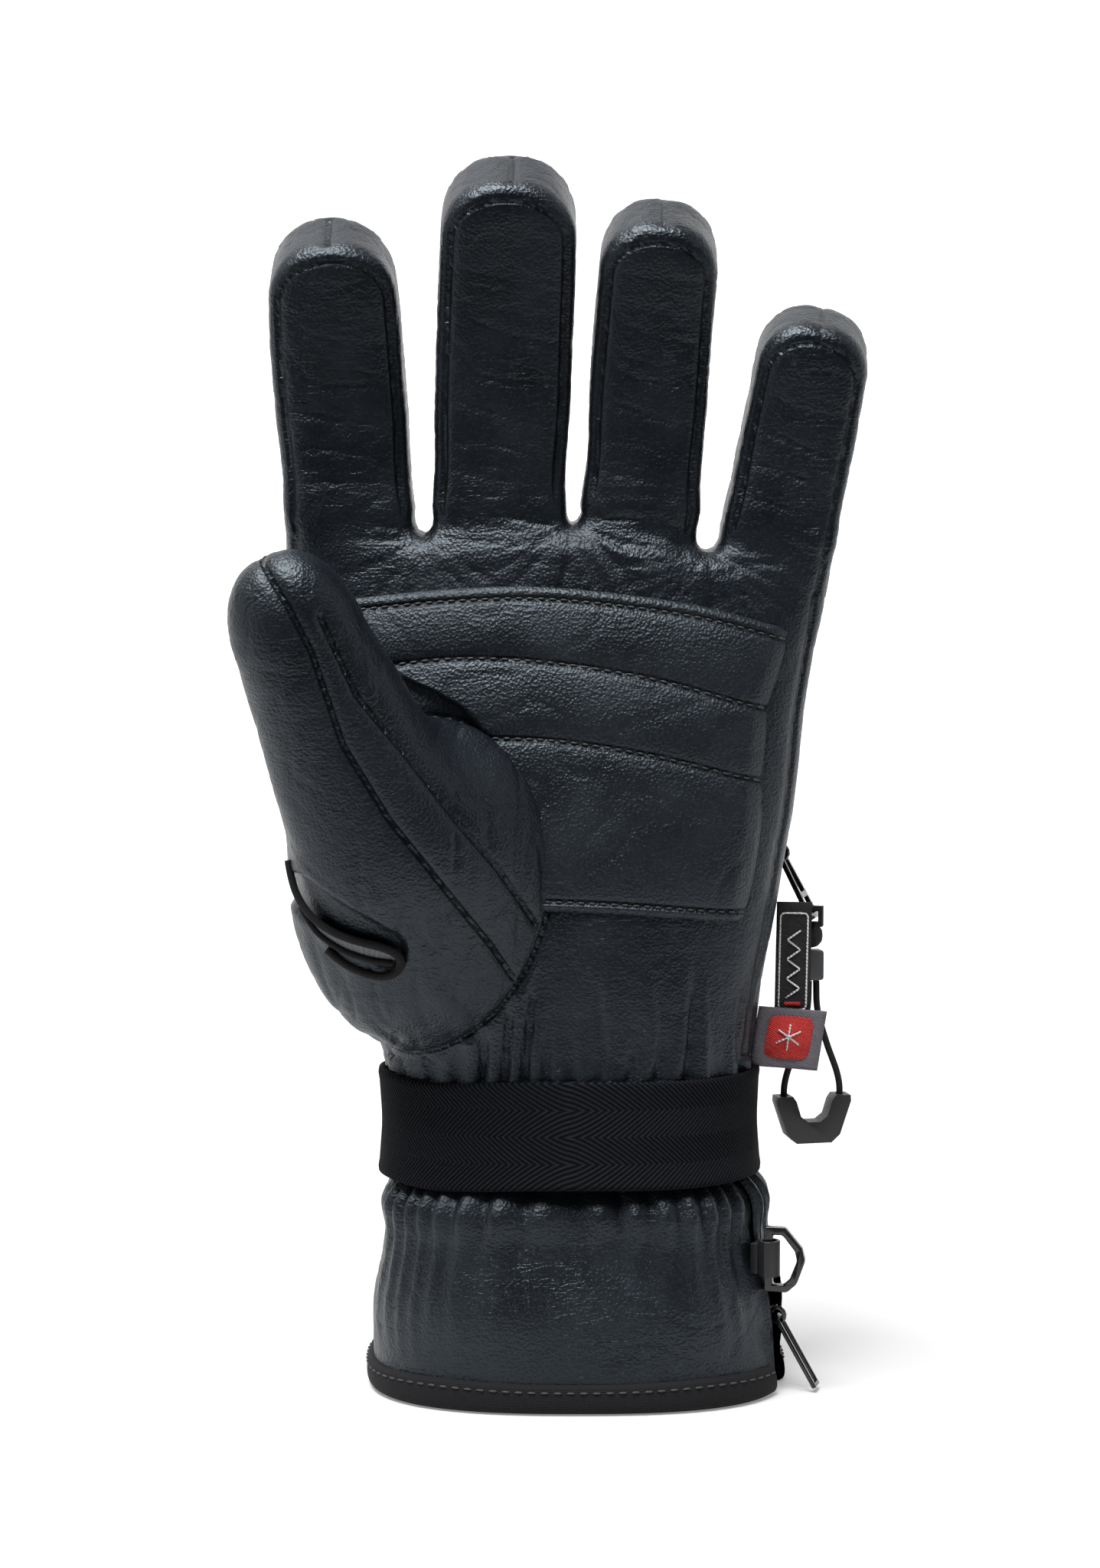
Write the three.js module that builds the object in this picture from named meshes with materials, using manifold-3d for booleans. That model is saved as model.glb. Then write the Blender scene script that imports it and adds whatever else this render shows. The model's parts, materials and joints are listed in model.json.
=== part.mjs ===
// An insulated leather ski glove for the left hand, standing on its cuff.
// Millimetres. X runs from the thumb side to the little-finger side, Y from the palm to the back of the hand, Z up.
// Every leather panel, strap, zip, ring and liner is a solid of its own. The fingers and the thumb are hinged at
// their roots, the zip sliders slide, and the pulls, ring and strap tab swing.
import * as THREE from "three";
import Module from "manifold-3d";
import { mergeVertices } from "three/addons/utils/BufferGeometryUtils.js";

const wasm = await Module();
wasm.setup();

// ---------------------------------------------------------------- driving dimensions
const GAP = 0.35; // between pieces that touch
const LEATHER = 1.2;
const ROUNDNESS = 2.6; // superellipse power of the hand's sections

// Sections of the hand and cuff, from the hem up: height, half width, half depth, centre x, centre y.
const BODY = [
  [0, 48, 35, 6.9, 0],
  [27, 46.2, 33, 5.4, 0],
  [52, 42.8, 28.5, 4.8, 0],
  [68, 41.6, 26.6, 4.8, 0],
  [84, 42.5, 25.5, 4.6, 0],
  [100, 47, 25, 2.2, -1],
  [118, 53, 24, -0.2, -2],
  [140, 57, 22.5, -0.4, -2],
  [165, 59.5, 20.5, -0.4, -1.5],
  [188, 62.5, 17, 2.4, -0.5],
  [214, 64.5, 13.2, 4.2, 0],
];
const WRIST_SEAM_Z = 68; // the hand's leather meets the cuff's here, under the strap
const LINER_TOP_Z = 191;

// How deep each layer lies under the outer face of the leather: [outer, inner].
const LAYERS = {
  leather: [0, LEATHER],
  elastic: [1.75, 2.4],
  insulation: [2.8, 5.3],
  liner: [5.8, 6.8],
  foam: [-0.6, -1.7],
  patch: [-2.2, -3.3],
  strap: [-0.6, -2.4],
  loopPad: [-2.8, -3.4],
  hookPad: [-3.8, -4.4],
  tab: [-4.8, -6.2],
};

// Each finger: hinge centre, lean towards the little-finger side in degrees, length from hinge to tip,
// width and depth at root and tip, and the forward curl of its tip in degrees.
const FINGERS = {
  index: { hinge: [-46.6, 0, 215], lean: -3.6, length: 62, width: [29.6, 28], depth: [25, 22], curl: 24 },
  middle: { hinge: [-11.3, 0, 216], lean: 2.2, length: 75.5, width: [30.6, 29.4], depth: [25.4, 22.4], curl: 25 },
  ring: { hinge: [21.4, 0, 216], lean: 4.4, length: 65.5, width: [27.2, 25.2], depth: [24.6, 21.6], curl: 24 },
  little: { hinge: [54.3, 0, 209.5], lean: 10.6, length: 48, width: [26.6, 24], depth: [23, 20], curl: 20 },
};
const TIP_POWER = 2.3;
const FINGER_FRONT_START = 1;
const FINGER_BACK_START = 0.6;
const KNUCKLE_RADIUS = 9.2; // the fourchettes' rounded ends turn about the hinge within this
const FINGER_LINER = [2.1, 4];

// The thumb's hinge centre and tip, its half widths and half depths at root and tip.
const THUMB = { hinge: [-40, -35, 146], tip: [-62.3, -50, 202], width: [20, 16.2], depth: [15, 12.4] };
const THUMB_SEAMS = [-108, -62]; // degrees round the thumb where the front strip starts and ends
const THUMB_LINER = [2.1, 4];
const THUMB_GAP = 5; // room under the thumb for it to turn about its hinge

const STRAP_Z = [55.5, 80.5];
const STRAP_ENDS = [118, 446]; // degrees round the wrist
const HEM_Z = 4.7;
const HEM_HEIGHT = 8;
const HEM_ENDS = [-4, 339];

// The zips: degrees round the hand, lower and upper ends, how far up its slider stands, how many teeth it has a side
// and how far round from its middle its tapes start and end.
const CUFF_ZIP = { degrees: -12.7, low: HEM_Z + 1.6, high: 29, slider: 15.8, teeth: 9, tapes: [6.8, 14] };
const SIDE_ZIP = { degrees: 16, low: 104, high: 150, slider: 26.5, teeth: 20, tapes: [10, 19] };
const ZIP = { chain: 1.6, pitch: 2.05, tooth: 1.1, tip: 0.62, bead: 1.5, above: -2.6 };

// ---------------------------------------------------------------- materials
function material(color, roughness, metalness = 0) {
  return new THREE.MeshStandardMaterial({ color, roughness, metalness });
}
const leather = material(0x23272b, 0.48);
const patchLeather = material(0x2b3034, 0.55);
const webbing = material(0x17181b, 0.85);
const blackCloth = material(0x1d1b1f, 0.9);
const foam = material(0x6a6d70, 0.95);
const fill = material(0xd9dcdc, 0.95);
const fleece = material(0x202226, 0.97);
const ripstop = material(0x686d72, 0.7);
const rubber = material(0x2c3033, 0.6);
const blackMetal = material(0x101012, 0.28, 0.85);
const zipTape = material(0x1a191d, 0.9);
const zipTeeth = material(0x121214, 0.4);
const labelBlack = material(0x101114, 0.85);
const labelGrey = material(0x6f6d73, 0.9);

// ---------------------------------------------------------------- solids from points
const radians = THREE.MathUtils.degToRad;
const mix = THREE.MathUtils.lerp;
const vec = (x, y, z) => new THREE.Vector3(x, y, z);

// A closed geometry from corner points and triangles, turned so that its faces point outwards.
function closed(points, faces) {
  let volume = 0;
  for (let i = 0; i < faces.length; i += 3)
    volume += points[faces[i]].dot(points[faces[i + 1]].clone().cross(points[faces[i + 2]]));
  if (volume < 0)
    for (let i = 0; i < faces.length; i += 3) [faces[i + 1], faces[i + 2]] = [faces[i + 2], faces[i + 1]];
  return new THREE.BufferGeometry().setFromPoints(points).setIndex(faces);
}

// Even stations from one value to another.
const evenly = (from, to, steps) => Array.from({ length: steps + 1 }, (_, i) => mix(from, to, i / steps));

// A sheet with thickness: outer(u, v) and inner(u, v) give its two faces at the stations us and vs, each a list or
// a count of steps from 0 to 1. ring joins the last station of us to the first.
function sheet(outer, inner, us, vs, ring = false) {
  if (!Array.isArray(us)) us = evenly(0, 1, us);
  if (!Array.isArray(vs)) vs = evenly(0, 1, vs);
  const [nu, nv] = [us.length - 1, vs.length - 1];
  const columns = ring ? nu : nu + 1;
  const points = [];
  for (const side of [outer, inner]) for (const v of vs) for (const u of us.slice(0, columns)) points.push(side(u, v));
  const at = (side, i, j) => (side * (nv + 1) + j) * columns + (i % columns);
  const faces = [];
  const quad = (a, b, c, d) => faces.push(a, b, c, a, c, d);
  for (let j = 0; j < nv; j++)
    for (let i = 0; i < nu; i++) {
      quad(at(0, i, j), at(0, i + 1, j), at(0, i + 1, j + 1), at(0, i, j + 1));
      quad(at(1, i, j), at(1, i, j + 1), at(1, i + 1, j + 1), at(1, i + 1, j));
    }
  for (let i = 0; i < nu; i++) {
    quad(at(0, i, 0), at(1, i, 0), at(1, i + 1, 0), at(0, i + 1, 0));
    quad(at(0, i, nv), at(0, i + 1, nv), at(1, i + 1, nv), at(1, i, nv));
  }
  if (!ring)
    for (let j = 0; j < nv; j++) {
      quad(at(0, 0, j), at(0, 0, j + 1), at(1, 0, j + 1), at(1, 0, j));
      quad(at(0, nu, j), at(1, nu, j), at(1, nu, j + 1), at(0, nu, j + 1));
    }
  return closed(points, faces);
}

// A flat profile, as [p, q] pairs, carried through a list of stations: place(t, p, q) gives each corner.
function sweep(profile, stations, place) {
  const n = profile.length;
  const steps = stations.length - 1;
  const points = [];
  for (const t of stations) for (const [p, q] of profile) points.push(place(t, p, q));
  const faces = [];
  for (let i = 0; i < steps; i++)
    for (let k = 0; k < n; k++) {
      const [a, b] = [i * n + k, i * n + ((k + 1) % n)];
      faces.push(a, b, b + n, a, b + n, a + n);
    }
  const caps = THREE.ShapeUtils.triangulateShape(profile.map(([p, q]) => new THREE.Vector2(p, q)), []);
  const forward = !THREE.ShapeUtils.isClockWise(profile.map(([p, q]) => new THREE.Vector2(p, q)));
  for (const cap of caps) {
    const [a, b, c] = forward ? [cap[0], cap[2], cap[1]] : cap;
    const end = steps * n;
    faces.push(a, b, c, end + a, end + c, end + b);
  }
  return closed(points, faces);
}

function toManifold(geometry) {
  const bare = new THREE.BufferGeometry().setAttribute("position", geometry.getAttribute("position"));
  if (geometry.index) bare.setIndex(geometry.index);
  const merged = mergeVertices(bare, 1e-4);
  return new wasm.Manifold(
    new wasm.Mesh({
      numProp: 3,
      vertProperties: merged.getAttribute("position").array,
      triVerts: new Uint32Array(merged.index.array),
    }),
  );
}

function fromManifold(solid) {
  const made = solid.getMesh();
  const positions = new THREE.BufferAttribute(new Float32Array(made.vertProperties), 3);
  return new THREE.BufferGeometry()
    .setAttribute("position", positions)
    .setIndex(new THREE.BufferAttribute(made.triVerts, 1));
}

const cut = (geometry, tool) => fromManifold(toManifold(geometry).subtract(toManifold(tool)));
const join = (...geometries) => fromManifold(geometries.map(toManifold).reduce((a, b) => a.add(b)));

function box(x0, x1, y0, y1, z0, z1) {
  return new THREE.BoxGeometry(x1 - x0, y1 - y0, z1 - z0).translate((x0 + x1) / 2, (y0 + y1) / 2, (z0 + z1) / 2);
}

// ---------------------------------------------------------------- the hand and cuff
const glove = new THREE.Group();

function add(name, geometry, finish, parent = glove) {
  const mesh = new THREE.Mesh(geometry, finish);
  mesh.name = name;
  parent.add(mesh);
  return mesh;
}

function section(z) {
  let i = 1;
  while (i < BODY.length - 1 && BODY[i][0] < z) i++;
  const [low, high] = [BODY[i - 1], BODY[i]];
  const t = (z - low[0]) / (high[0] - low[0]);
  return low.map((value, k) => mix(value, high[k], t));
}

const power = (value, p) => Math.sign(value) * Math.abs(value) ** p;

// A point of the hand's surface: degrees round it (-90 is the palm side, 0 the little-finger side) and height.
function onBody(degrees, z, inset) {
  const [, a, b, x, y] = section(z);
  const angle = radians(degrees);
  return vec(
    x + (a - inset) * power(Math.cos(angle), 2 / ROUNDNESS),
    y + (b - inset) * power(Math.sin(angle), 2 / ROUNDNESS),
    z,
  );
}

// The angle on the palm side that lies over x at height z.
function palmAngle(x, z) {
  const [, a, , cx] = section(z);
  return -THREE.MathUtils.radToDeg(Math.acos(power(THREE.MathUtils.clamp((x - cx) / a, -1, 1), ROUNDNESS / 2)));
}

// The palm side's surface over a point x, z.
function onPalm(x, z, inset) {
  const [, a, b, cx, cy] = section(z);
  const share = Math.min(0.999, Math.abs(x - cx) / (a - inset));
  return vec(x, cy - (b - inset) * (1 - share ** ROUNDNESS) ** (1 / ROUNDNESS), z);
}

// Every layer of the hand is cut into facets at the same stations, so that the layers keep their spacing.
const FACET = 15; // degrees
function roundStations(from, to) {
  const inner = evenly(-20 * FACET, 40 * FACET, 60).filter((d) => d > from + 2 && d < to - 2);
  return [from, ...inner, to];
}

function heightStations(low, high) {
  const inner = BODY.map((row) => row[0]).filter((z) => z > low + 2 && z < high - 2);
  return [low, ...inner, high];
}

// A panel of one layer between two angles. Its low and high edges are heights, or heights by angle.
function bodyPanel([from, to], [low, high], [outer, inner], ring = false) {
  const top = (degrees) => (typeof high === "function" ? high(degrees) : high);
  const degrees = roundStations(from, to);
  const lowestTop = Math.min(...degrees.map(top));
  const rows = heightStations(low, lowestTop);
  const level = (d, z) => (z === lowestTop ? top(d) : z);
  const face = (inset) => (d, z) => onBody(d, level(d, z), inset);
  return sheet(face(outer), face(inner), degrees, rows, ring);
}

const bodySleeve = (heights, layer) => bodyPanel([0, 360], heights, layer, true);

// The height of a finger's hinge at the outer side that it leans to.
const rootLow = ({ hinge, width, lean }) => hinge[2] - (width[0] / 2) * Math.sin(Math.abs(radians(lean)));

// The hand's upper edge dips under the rounded ends of the outer fingers, and is lower by the little finger.
function saddle(highest) {
  return (degrees) => {
    const side = THREE.MathUtils.smoothstep(Math.cos(radians(degrees)), 0.35, 0.75);
    const hinge = mix(rootLow(FINGERS.index), rootLow(FINGERS.little), side);
    const depth = onBody(degrees, hinge, 0).y;
    const reach = Math.sqrt(Math.max(0, (KNUCKLE_RADIUS + 0.8) ** 2 - depth ** 2));
    return Math.min(hinge - reach - 0.4, hinge - highest);
  };
}
const palmTop = saddle(8.6);
const backTop = saddle(2);

// The seam where the thumb is set into the palm, as x, z, from its top round the palm side to the outer edge.
const THUMB_SEAM = [
  [-23.5, 162.5], [-12.5, 160.5], [-4.7, 147], [-1.6, 132], [-4, 115], [-13.6, 101], [-27.5, 91.6], [-38, 90],
  [-45.5, 100], [-50.5, 112], [-53.5, 122], [-54.5, 130], [-53, 137], [-46.5, 143], [-35, 151],
];

function thumbSeam(scale, depth) {
  const centre = [-29, 127];
  return THUMB_SEAM.map(([x, z]) => {
    return onPalm(mix(centre[0], x, scale), mix(centre[1], z, scale), depth);
  });
}

// The prism that opens the palm's layers into the thumb.
function thumbHole() {
  const shape = new THREE.Shape(thumbSeam(0.93, 0).map((p) => new THREE.Vector2(p.x, p.z)));
  return new THREE.ExtrudeGeometry(shape, { depth: 60, bevelEnabled: false }).rotateX(Math.PI / 2).translate(0, -6, 0);
}

function makeHand() {
  const hole = thumbHole();
  const { leather: skin, elastic, insulation, liner } = LAYERS;
  add("palm_leather", cut(bodyPanel([-169, -11], [WRIST_SEAM_Z + GAP, palmTop], skin), hole), leather);
  const back = bodyPanel([-10, 190], [WRIST_SEAM_Z + GAP, backTop], skin);
  add("back_leather", cut(back, zipNotch(SIDE_ZIP, 4.2)), leather);
  const rooms = [hole, zipNotch(CUFF_ZIP, 5), zipNotch(SIDE_ZIP, 5)];
  add("hand_insulation", rooms.reduce(cut, bodySleeve([HEM_Z + 10, LINER_TOP_Z], insulation)), fill);
  add("hand_liner", cut(bodySleeve([HEM_Z + 3, LINER_TOP_Z], liner), hole), fleece);
  add("wrist_elastic", bodySleeve([58, 78], elastic), webbing);
}

// The webs that close the hand between neighbouring fingers.
function makeWebs() {
  const names = Object.keys(FINGERS);
  for (let i = 0; i < 3; i++) {
    const [near, far] = [FINGERS[names[i]], FINGERS[names[i + 1]]];
    const x = (near.hinge[0] + near.width[0] / 2 + far.hinge[0] - far.width[0] / 2) / 2;
    const z = Math.min(near.hinge[2], far.hinge[2]) - 11.5;
    const web = (lift) => (u, v) => vec(x + mix(-2.4, 2.4, u), mix(-10.6, 10.6, v), z + lift - 5 * (2 * u - 1) ** 2);
    add(`web_${names[i]}_${names[i + 1]}`, sheet(web(0), web(-LEATHER), 4, 2), leather);
  }
}

// The padded patch over the palm: its left edge follows the thumb's seam, then runs under the thumb.
const PATCH = {
  left: [[119, 1.5], [135, 2], [150, -0.6], [163, -8.5], [171, -17], [178, -46], [194, -49]],
  right: [[119, 46.4], [138, 49.6], [154, 50.4], [168, 51.6], [183, 57], [194, 58]],
};

function fromTable(rows, z) {
  let i = 1;
  while (i < rows.length - 1 && rows[i][0] < z) i++;
  const [low, high] = [rows[i - 1], rows[i]];
  return mix(low[1], high[1], THREE.MathUtils.clamp((z - low[0]) / (high[0] - low[0]), 0, 1));
}

// Both long edges of the patch fall away towards the little finger.
const patchDrop = (x) => 0.0030 * Math.max(0, x + 8) ** 2;

function makePatch() {
  const layer = ([outer, inner], margin) => {
    const face = (inset) => (u, v) => {
      const level = mix(119 + margin, 194.5 - margin, v);
      const [left, right] = [PATCH.left, PATCH.right].map((edge) => palmAngle(fromTable(edge, level), level));
      const degrees = mix(left + margin, right - margin, u);
      return onBody(degrees, level - patchDrop(onBody(degrees, level, 0).x) * v, inset);
    };
    return sheet(face(outer), face(inner), 14, 8);
  };
  add("palm_foam", layer(LAYERS.foam, 3), foam);
  add("palm_patch", layer(LAYERS.patch, 0), patchLeather);
}

function makeCuff() {
  const heights = [HEM_Z + 1.6, WRIST_SEAM_Z - GAP];
  const notch = zipNotch(CUFF_ZIP, 4.2);
  add("gauntlet_front", cut(bodyPanel([-176, -13], heights, LAYERS.leather), notch), leather);
  add("gauntlet_back", cut(bodyPanel([-12, 183], heights, LAYERS.leather), notch), leather);
  const [out, wall] = [-1.5, 0.95];
  const inside = LAYERS.liner[1] + GAP;
  const [foot, head] = [HEM_Z, HEM_Z + HEM_HEIGHT];
  const profile = [
    [out, foot], [inside + wall, foot], [inside + wall, head], [inside, head],
    [inside, foot + 1.25], [out + wall, foot + 1.25], [out + wall, head], [out, head],
  ];
  add("cuff_binding", sweep(profile, roundStations(...HEM_ENDS), (d, inset, z) => onBody(d, z, inset)), blackCloth);
}

function makeStrap() {
  const [low, high] = STRAP_Z;
  add("wrist_strap", bodyPanel(STRAP_ENDS, STRAP_Z, LAYERS.strap), webbing);
  add("strap_loop_pad", bodyPanel([65, 84], [low + 2, high - 2], LAYERS.loopPad), blackCloth);
  add("strap_hook_pad", bodyPanel([67, 82], [low + 3, high - 3], LAYERS.hookPad), blackCloth);
  const [outer, under] = [LAYERS.tab[1], LAYERS.tab[0]];
  const foot = -1.8;
  const profile = [...roundStations(62, 114).map((d) => [d, outer]), [114, foot], [108, foot]];
  for (const d of roundStations(62, 108).reverse()) profile.push([d, under]);
  add("strap_tab", sweep(profile, [low, 68, high], (z, d, inset) => onBody(d, z, inset)), rubber);
}

// ---------------------------------------------------------------- fingers
// A finger in its own frame: across, depth (towards the back of the hand) and distance up from the hinge.
function fingerShape({ length, width, depth, curl }) {
  const bend = radians(curl) / length;
  const tip = width[1] / 2;
  const share = (s) => THREE.MathUtils.clamp(s / length, 0, 1);
  return {
    place(across, deep, s) {
      const angle = bend * Math.max(0, s);
      const y = -(1 - Math.cos(angle)) / bend + deep * Math.cos(angle);
      return vec(across, y, s > 0 ? Math.sin(angle) / bend + deep * Math.sin(angle) : s);
    },
    halfDepth: (s) => mix(depth[0], depth[1], share(s)) / 2,
    // Half the outline: t 0 to 0.5 goes up the side, 0.5 to 1 round the tip to the middle.
    edge(t, start, inset) {
      const shoulder = length - tip;
      const side = (s) => mix(width[0], width[1], share(s)) / 2 - inset;
      if (t <= 0.5) {
        const s = mix(start, shoulder, 2 * t);
        return [side(s), s];
      }
      const angle = (2 * t - 1) * (Math.PI / 2);
      const reach = Math.cos(angle) ** (2 / TIP_POWER);
      return [side(shoulder) * reach, shoulder + (tip - inset) * Math.sin(angle) ** (2 / TIP_POWER)];
    },
  };
}

function makeFinger(name, finger) {
  const shape = fingerShape(finger);
  const group = new THREE.Group();
  group.position.set(...finger.hinge);
  group.rotation.y = radians(finger.lean);
  glove.add(group);

  // Palm and back faces: plates with the finger's outline.
  const plate = (side, start) => {
    const face = (inset) => (u, v) => {
      const [half, s] = shape.edge(Math.min(0.985, v), start, 0);
      return shape.place(half * (2 * u - 1), side * (shape.halfDepth(s) - inset), s);
    };
    return sheet(face(0), face(LEATHER), 2, 10);
  };
  add(`${name}_palm_face`, plate(-1, FINGER_FRONT_START), leather, group);
  add(`${name}_back_face`, plate(1, FINGER_BACK_START), leather, group);

  // The fourchette: one strip up one side, over the tip and down the other, with rounded ends at the hinge.
  const strip = (inset) => (u, v) => {
    const right = u > 0.5;
    const t = right ? 2 - 2 * u : 2 * u;
    const [, level] = shape.edge(t, 0, inset);
    const deep = (2 * v - 1) * (shape.halfDepth(level) - LEATHER - GAP);
    const rounded = -Math.sqrt(Math.max(0, KNUCKLE_RADIUS ** 2 - deep ** 2));
    const [half, s] = shape.edge(t, rounded, inset);
    return shape.place(right ? half : -half, deep, s);
  };
  add(`${name}_fourchette`, sheet(strip(0), strip(LEATHER), 16, 3), leather, group);

  // The liner: a sock inside the leather, left open by a pinhole at its tip.
  const sock = (inset) => (u, v) => {
    const [half, s] = shape.edge(Math.min(0.97, v), 6, inset);
    const rim = (v > 0.5 ? half / shape.edge(0.5, 6, inset)[0] : 1) ** 0.6;
    const angle = 2 * Math.PI * u;
    const deep = (shape.halfDepth(s) - inset) * rim * power(Math.sin(angle), 2 / ROUNDNESS);
    return shape.place(half * power(Math.cos(angle), 2 / ROUNDNESS), deep, s);
  };
  add(`${name}_liner`, sheet(sock(FINGER_LINER[0]), sock(FINGER_LINER[1]), 12, 6, true), fleece, group);
}

// ---------------------------------------------------------------- thumb
const thumb = (() => {
  const [root, tip] = [vec(...THUMB.hinge), vec(...THUMB.tip)];
  const along = tip.clone().sub(root);
  const length = along.length();
  along.normalize();
  const across = vec(-along.z, 0, along.x).normalize().negate();
  const deep = along.clone().cross(across).normalize();
  return { root, along, across, deep, length };
})();

// A point of the thumb: degrees round it (-90 faces forward, 180 outwards), share of its length, inset.
function onThumb(degrees, share, inset) {
  const tipStart = 0.66;
  const s = share * (thumb.length - inset);
  const t = Math.max(0, (share - tipStart) / (1 - tipStart));
  const close = (1 - t ** TIP_POWER) ** (1 / TIP_POWER);
  const angle = radians(degrees);
  const half = (sizes) => (mix(sizes[0], sizes[1], Math.min(share, tipStart) / tipStart) - inset) * close;
  return thumb.root
    .clone()
    .addScaledVector(thumb.along, s)
    .addScaledVector(thumb.across, half(THUMB.width) * power(Math.cos(angle), 2 / 2.2))
    .addScaledVector(thumb.deep, half(THUMB.depth) * power(Math.sin(angle), 2 / 2.2));
}

function thumbPanel(from, to, nu) {
  const face = (inset) => (u, v) => {
    const degrees = mix(from, to, u);
    const low = 0.045 + 0.025 * Math.cos(radians(degrees));
    return onThumb(degrees, mix(low, 0.992, v ** 0.8), inset);
  };
  return sheet(face(0), face(LEATHER), nu, 7);
}

// The thumb's base: leather from the seam in the palm up to the ring where the thumb turns.
function onGusset(u, v) {
  const at = (u * THUMB_SEAM.length) % THUMB_SEAM.length;
  const i = Math.floor(at);
  const seam = thumbSeam(1, -1.7);
  const base = seam[i].clone().lerp(seam[(i + 1) % seam.length], at - i);
  const around = 62 - 360 * u;
  const top = onThumb(around, 0, 0.2).addScaledVector(thumb.along, -THUMB_GAP);
  const swell = vec(0, 7.5 * Math.min(0, Math.sin(radians(around))) * Math.sin(Math.PI * v) ** 0.8, 0);
  return base.lerp(top, v).add(swell);
}

// A point some way out from the gusset's face.
function gussetOut(u, v, out) {
  const step = 0.01;
  const p = onGusset(u, v);
  const du = onGusset(u + step, v).sub(p);
  const dv = v < 0.5 ? onGusset(u, v + step).sub(p) : p.clone().sub(onGusset(u, v - step));
  return p.addScaledVector(dv.cross(du).normalize(), out);
}

// The bound slot low on the outside of the thumb's base, in shares round and up the gusset.
const SLOT = { u: 0.615, v: 0.42, du: 0.075, dv: 0.2, wall: 1.3 };

function makeSlot() {
  const round = 14;
  const place = (angle, scale, out) =>
    gussetOut(
      SLOT.u + SLOT.du * scale * power(Math.cos(angle), 0.8),
      SLOT.v + SLOT.dv * scale * power(Math.sin(angle), 0.8),
      out,
    );
  const ring = (out, wide) => (u, v) => place(2 * Math.PI * u, mix(1, wide, v), out);
  const bottom = (u, v) => ring(0.5, 1.3)(u, v);
  const top = (u, v) => ring(2, 1.3)(u, v);
  add("slot_binding", sheet(top, bottom, round, 1, true), blackCloth);
  const plate = (out) => (u, v) => place(Math.PI * mix(0.12, 0.88, u) * (v > 0.5 ? 1 : -1), 0.86, out);
  const patch = (out) => (u, v) => plate(out)(u, 0).lerp(plate(out)(u, 1), v);
  add("slot_insert", sheet(patch(1.1), patch(0.5), 5, 2), ripstop);
}

function makeThumb() {
  const [from, to] = THUMB_SEAMS;
  add("thumb_outer", thumbPanel(from - 1.5, -269, 6), leather);
  add("thumb_strip", thumbPanel(from, to, 2), leather);
  add("thumb_inner", thumbPanel(to + 1.5, 89, 6), leather);
  const sock = (inset) => (u, v) => onThumb(-360 * u, mix(0.1, 0.985, v), inset);
  add("thumb_liner", sheet(sock(THUMB_LINER[0]), sock(THUMB_LINER[1]), 12, 5, true), fleece);
  const steps = THUMB_SEAM.length;
  const shell = (inset) => (u, v) => {
    const p = gussetOut(u, v, -inset);
    return p.setY(Math.min(p.y, onPalm(p.x, p.z, -0.5).y));
  };
  add("thumb_gusset", sheet(shell(0), shell(LEATHER), steps, 4, true), leather);
  makeSlot();
}

// ---------------------------------------------------------------- zips
// One side of the chain: a bead along the tape with teeth that point to the middle.
function toothRow(count, side) {
  const { pitch, tooth, tip, bead, chain } = ZIP;
  const shape = new THREE.Shape();
  shape.moveTo(tip + bead + tooth, 0);
  for (let i = 0; i < count; i++) {
    const z = i * pitch;
    shape.lineTo(tip + tooth, z);
    shape.lineTo(tip + tooth, z + pitch * 0.22);
    shape.lineTo(tip, z + pitch * 0.3);
    shape.lineTo(tip, z + pitch * 0.7);
    shape.lineTo(tip + tooth, z + pitch * 0.78);
  }
  shape.lineTo(tip + tooth, count * pitch);
  shape.lineTo(tip + bead + tooth, count * pitch);
  const row = new THREE.ExtrudeGeometry(shape, { depth: chain, bevelEnabled: false });
  const stand = new THREE.Matrix4().makeBasis(vec(0, side, 0), vec(0, 0, 1), vec(side, 0, 0));
  return row.applyMatrix4(stand).translate(side < 0 ? chain : 0, 0, 0);
}

// A flat ring of bar: its outline and the outlines of its holes, as [x, z] lists, laid in the XZ plane.
function flatRing(outline, holes, thick) {
  const path = (points) => points.map(([x, z]) => new THREE.Vector2(x, z));
  const corners = path(outline);
  const shape = new THREE.Shape(THREE.ShapeUtils.isClockWise(corners) ? corners.reverse() : corners);
  for (const hole of holes) shape.holes.push(new THREE.Path(path(hole)));
  const made = new THREE.ExtrudeGeometry(shape, { depth: thick, bevelEnabled: false });
  return made.translate(0, 0, -thick / 2).rotateX(Math.PI / 2);
}

// The upper half of a circle, as [x, z] points from right to left.
const arch = (radius, centre, steps) =>
  evenly(0, Math.PI, steps).map((angle) => [radius * Math.cos(angle), centre + radius * Math.sin(angle)]);

// A group hung from a point of another one: its X axis is the bar it hangs by, turned to an azimuth about Z, and it
// swings out about that bar by some degrees.
function hang(parent, at, azimuth, swing) {
  glove.updateMatrixWorld(true);
  const group = new THREE.Group();
  group.position.copy(parent.localToWorld(vec(...at)));
  group.rotation.set(-radians(swing), 0, radians(azimuth), "ZYX");
  glove.add(group);
  return group;
}

// Where a zip stands: Z up its chain, X out of the glove, Y across it.
function zipStand({ degrees, low, high }) {
  const [foot, head] = [onBody(degrees, low, 0), onBody(degrees, high, 0)];
  const up = head.clone().sub(foot).normalize();
  const across = onBody(degrees + 3, low, 0).sub(onBody(degrees - 3, low, 0)).normalize();
  const out = across.clone().cross(up).normalize();
  return new THREE.Matrix4().makeBasis(out, up.clone().cross(out), up).setPosition(foot);
}

// The room that a zip's chain needs, cleared out of the layers it crosses.
function zipNotch(zip, half) {
  const length = zip.high - zip.low + 1;
  return box(-9, 9, -half, half, -9, length).applyMatrix4(zipStand(zip));
}

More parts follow.
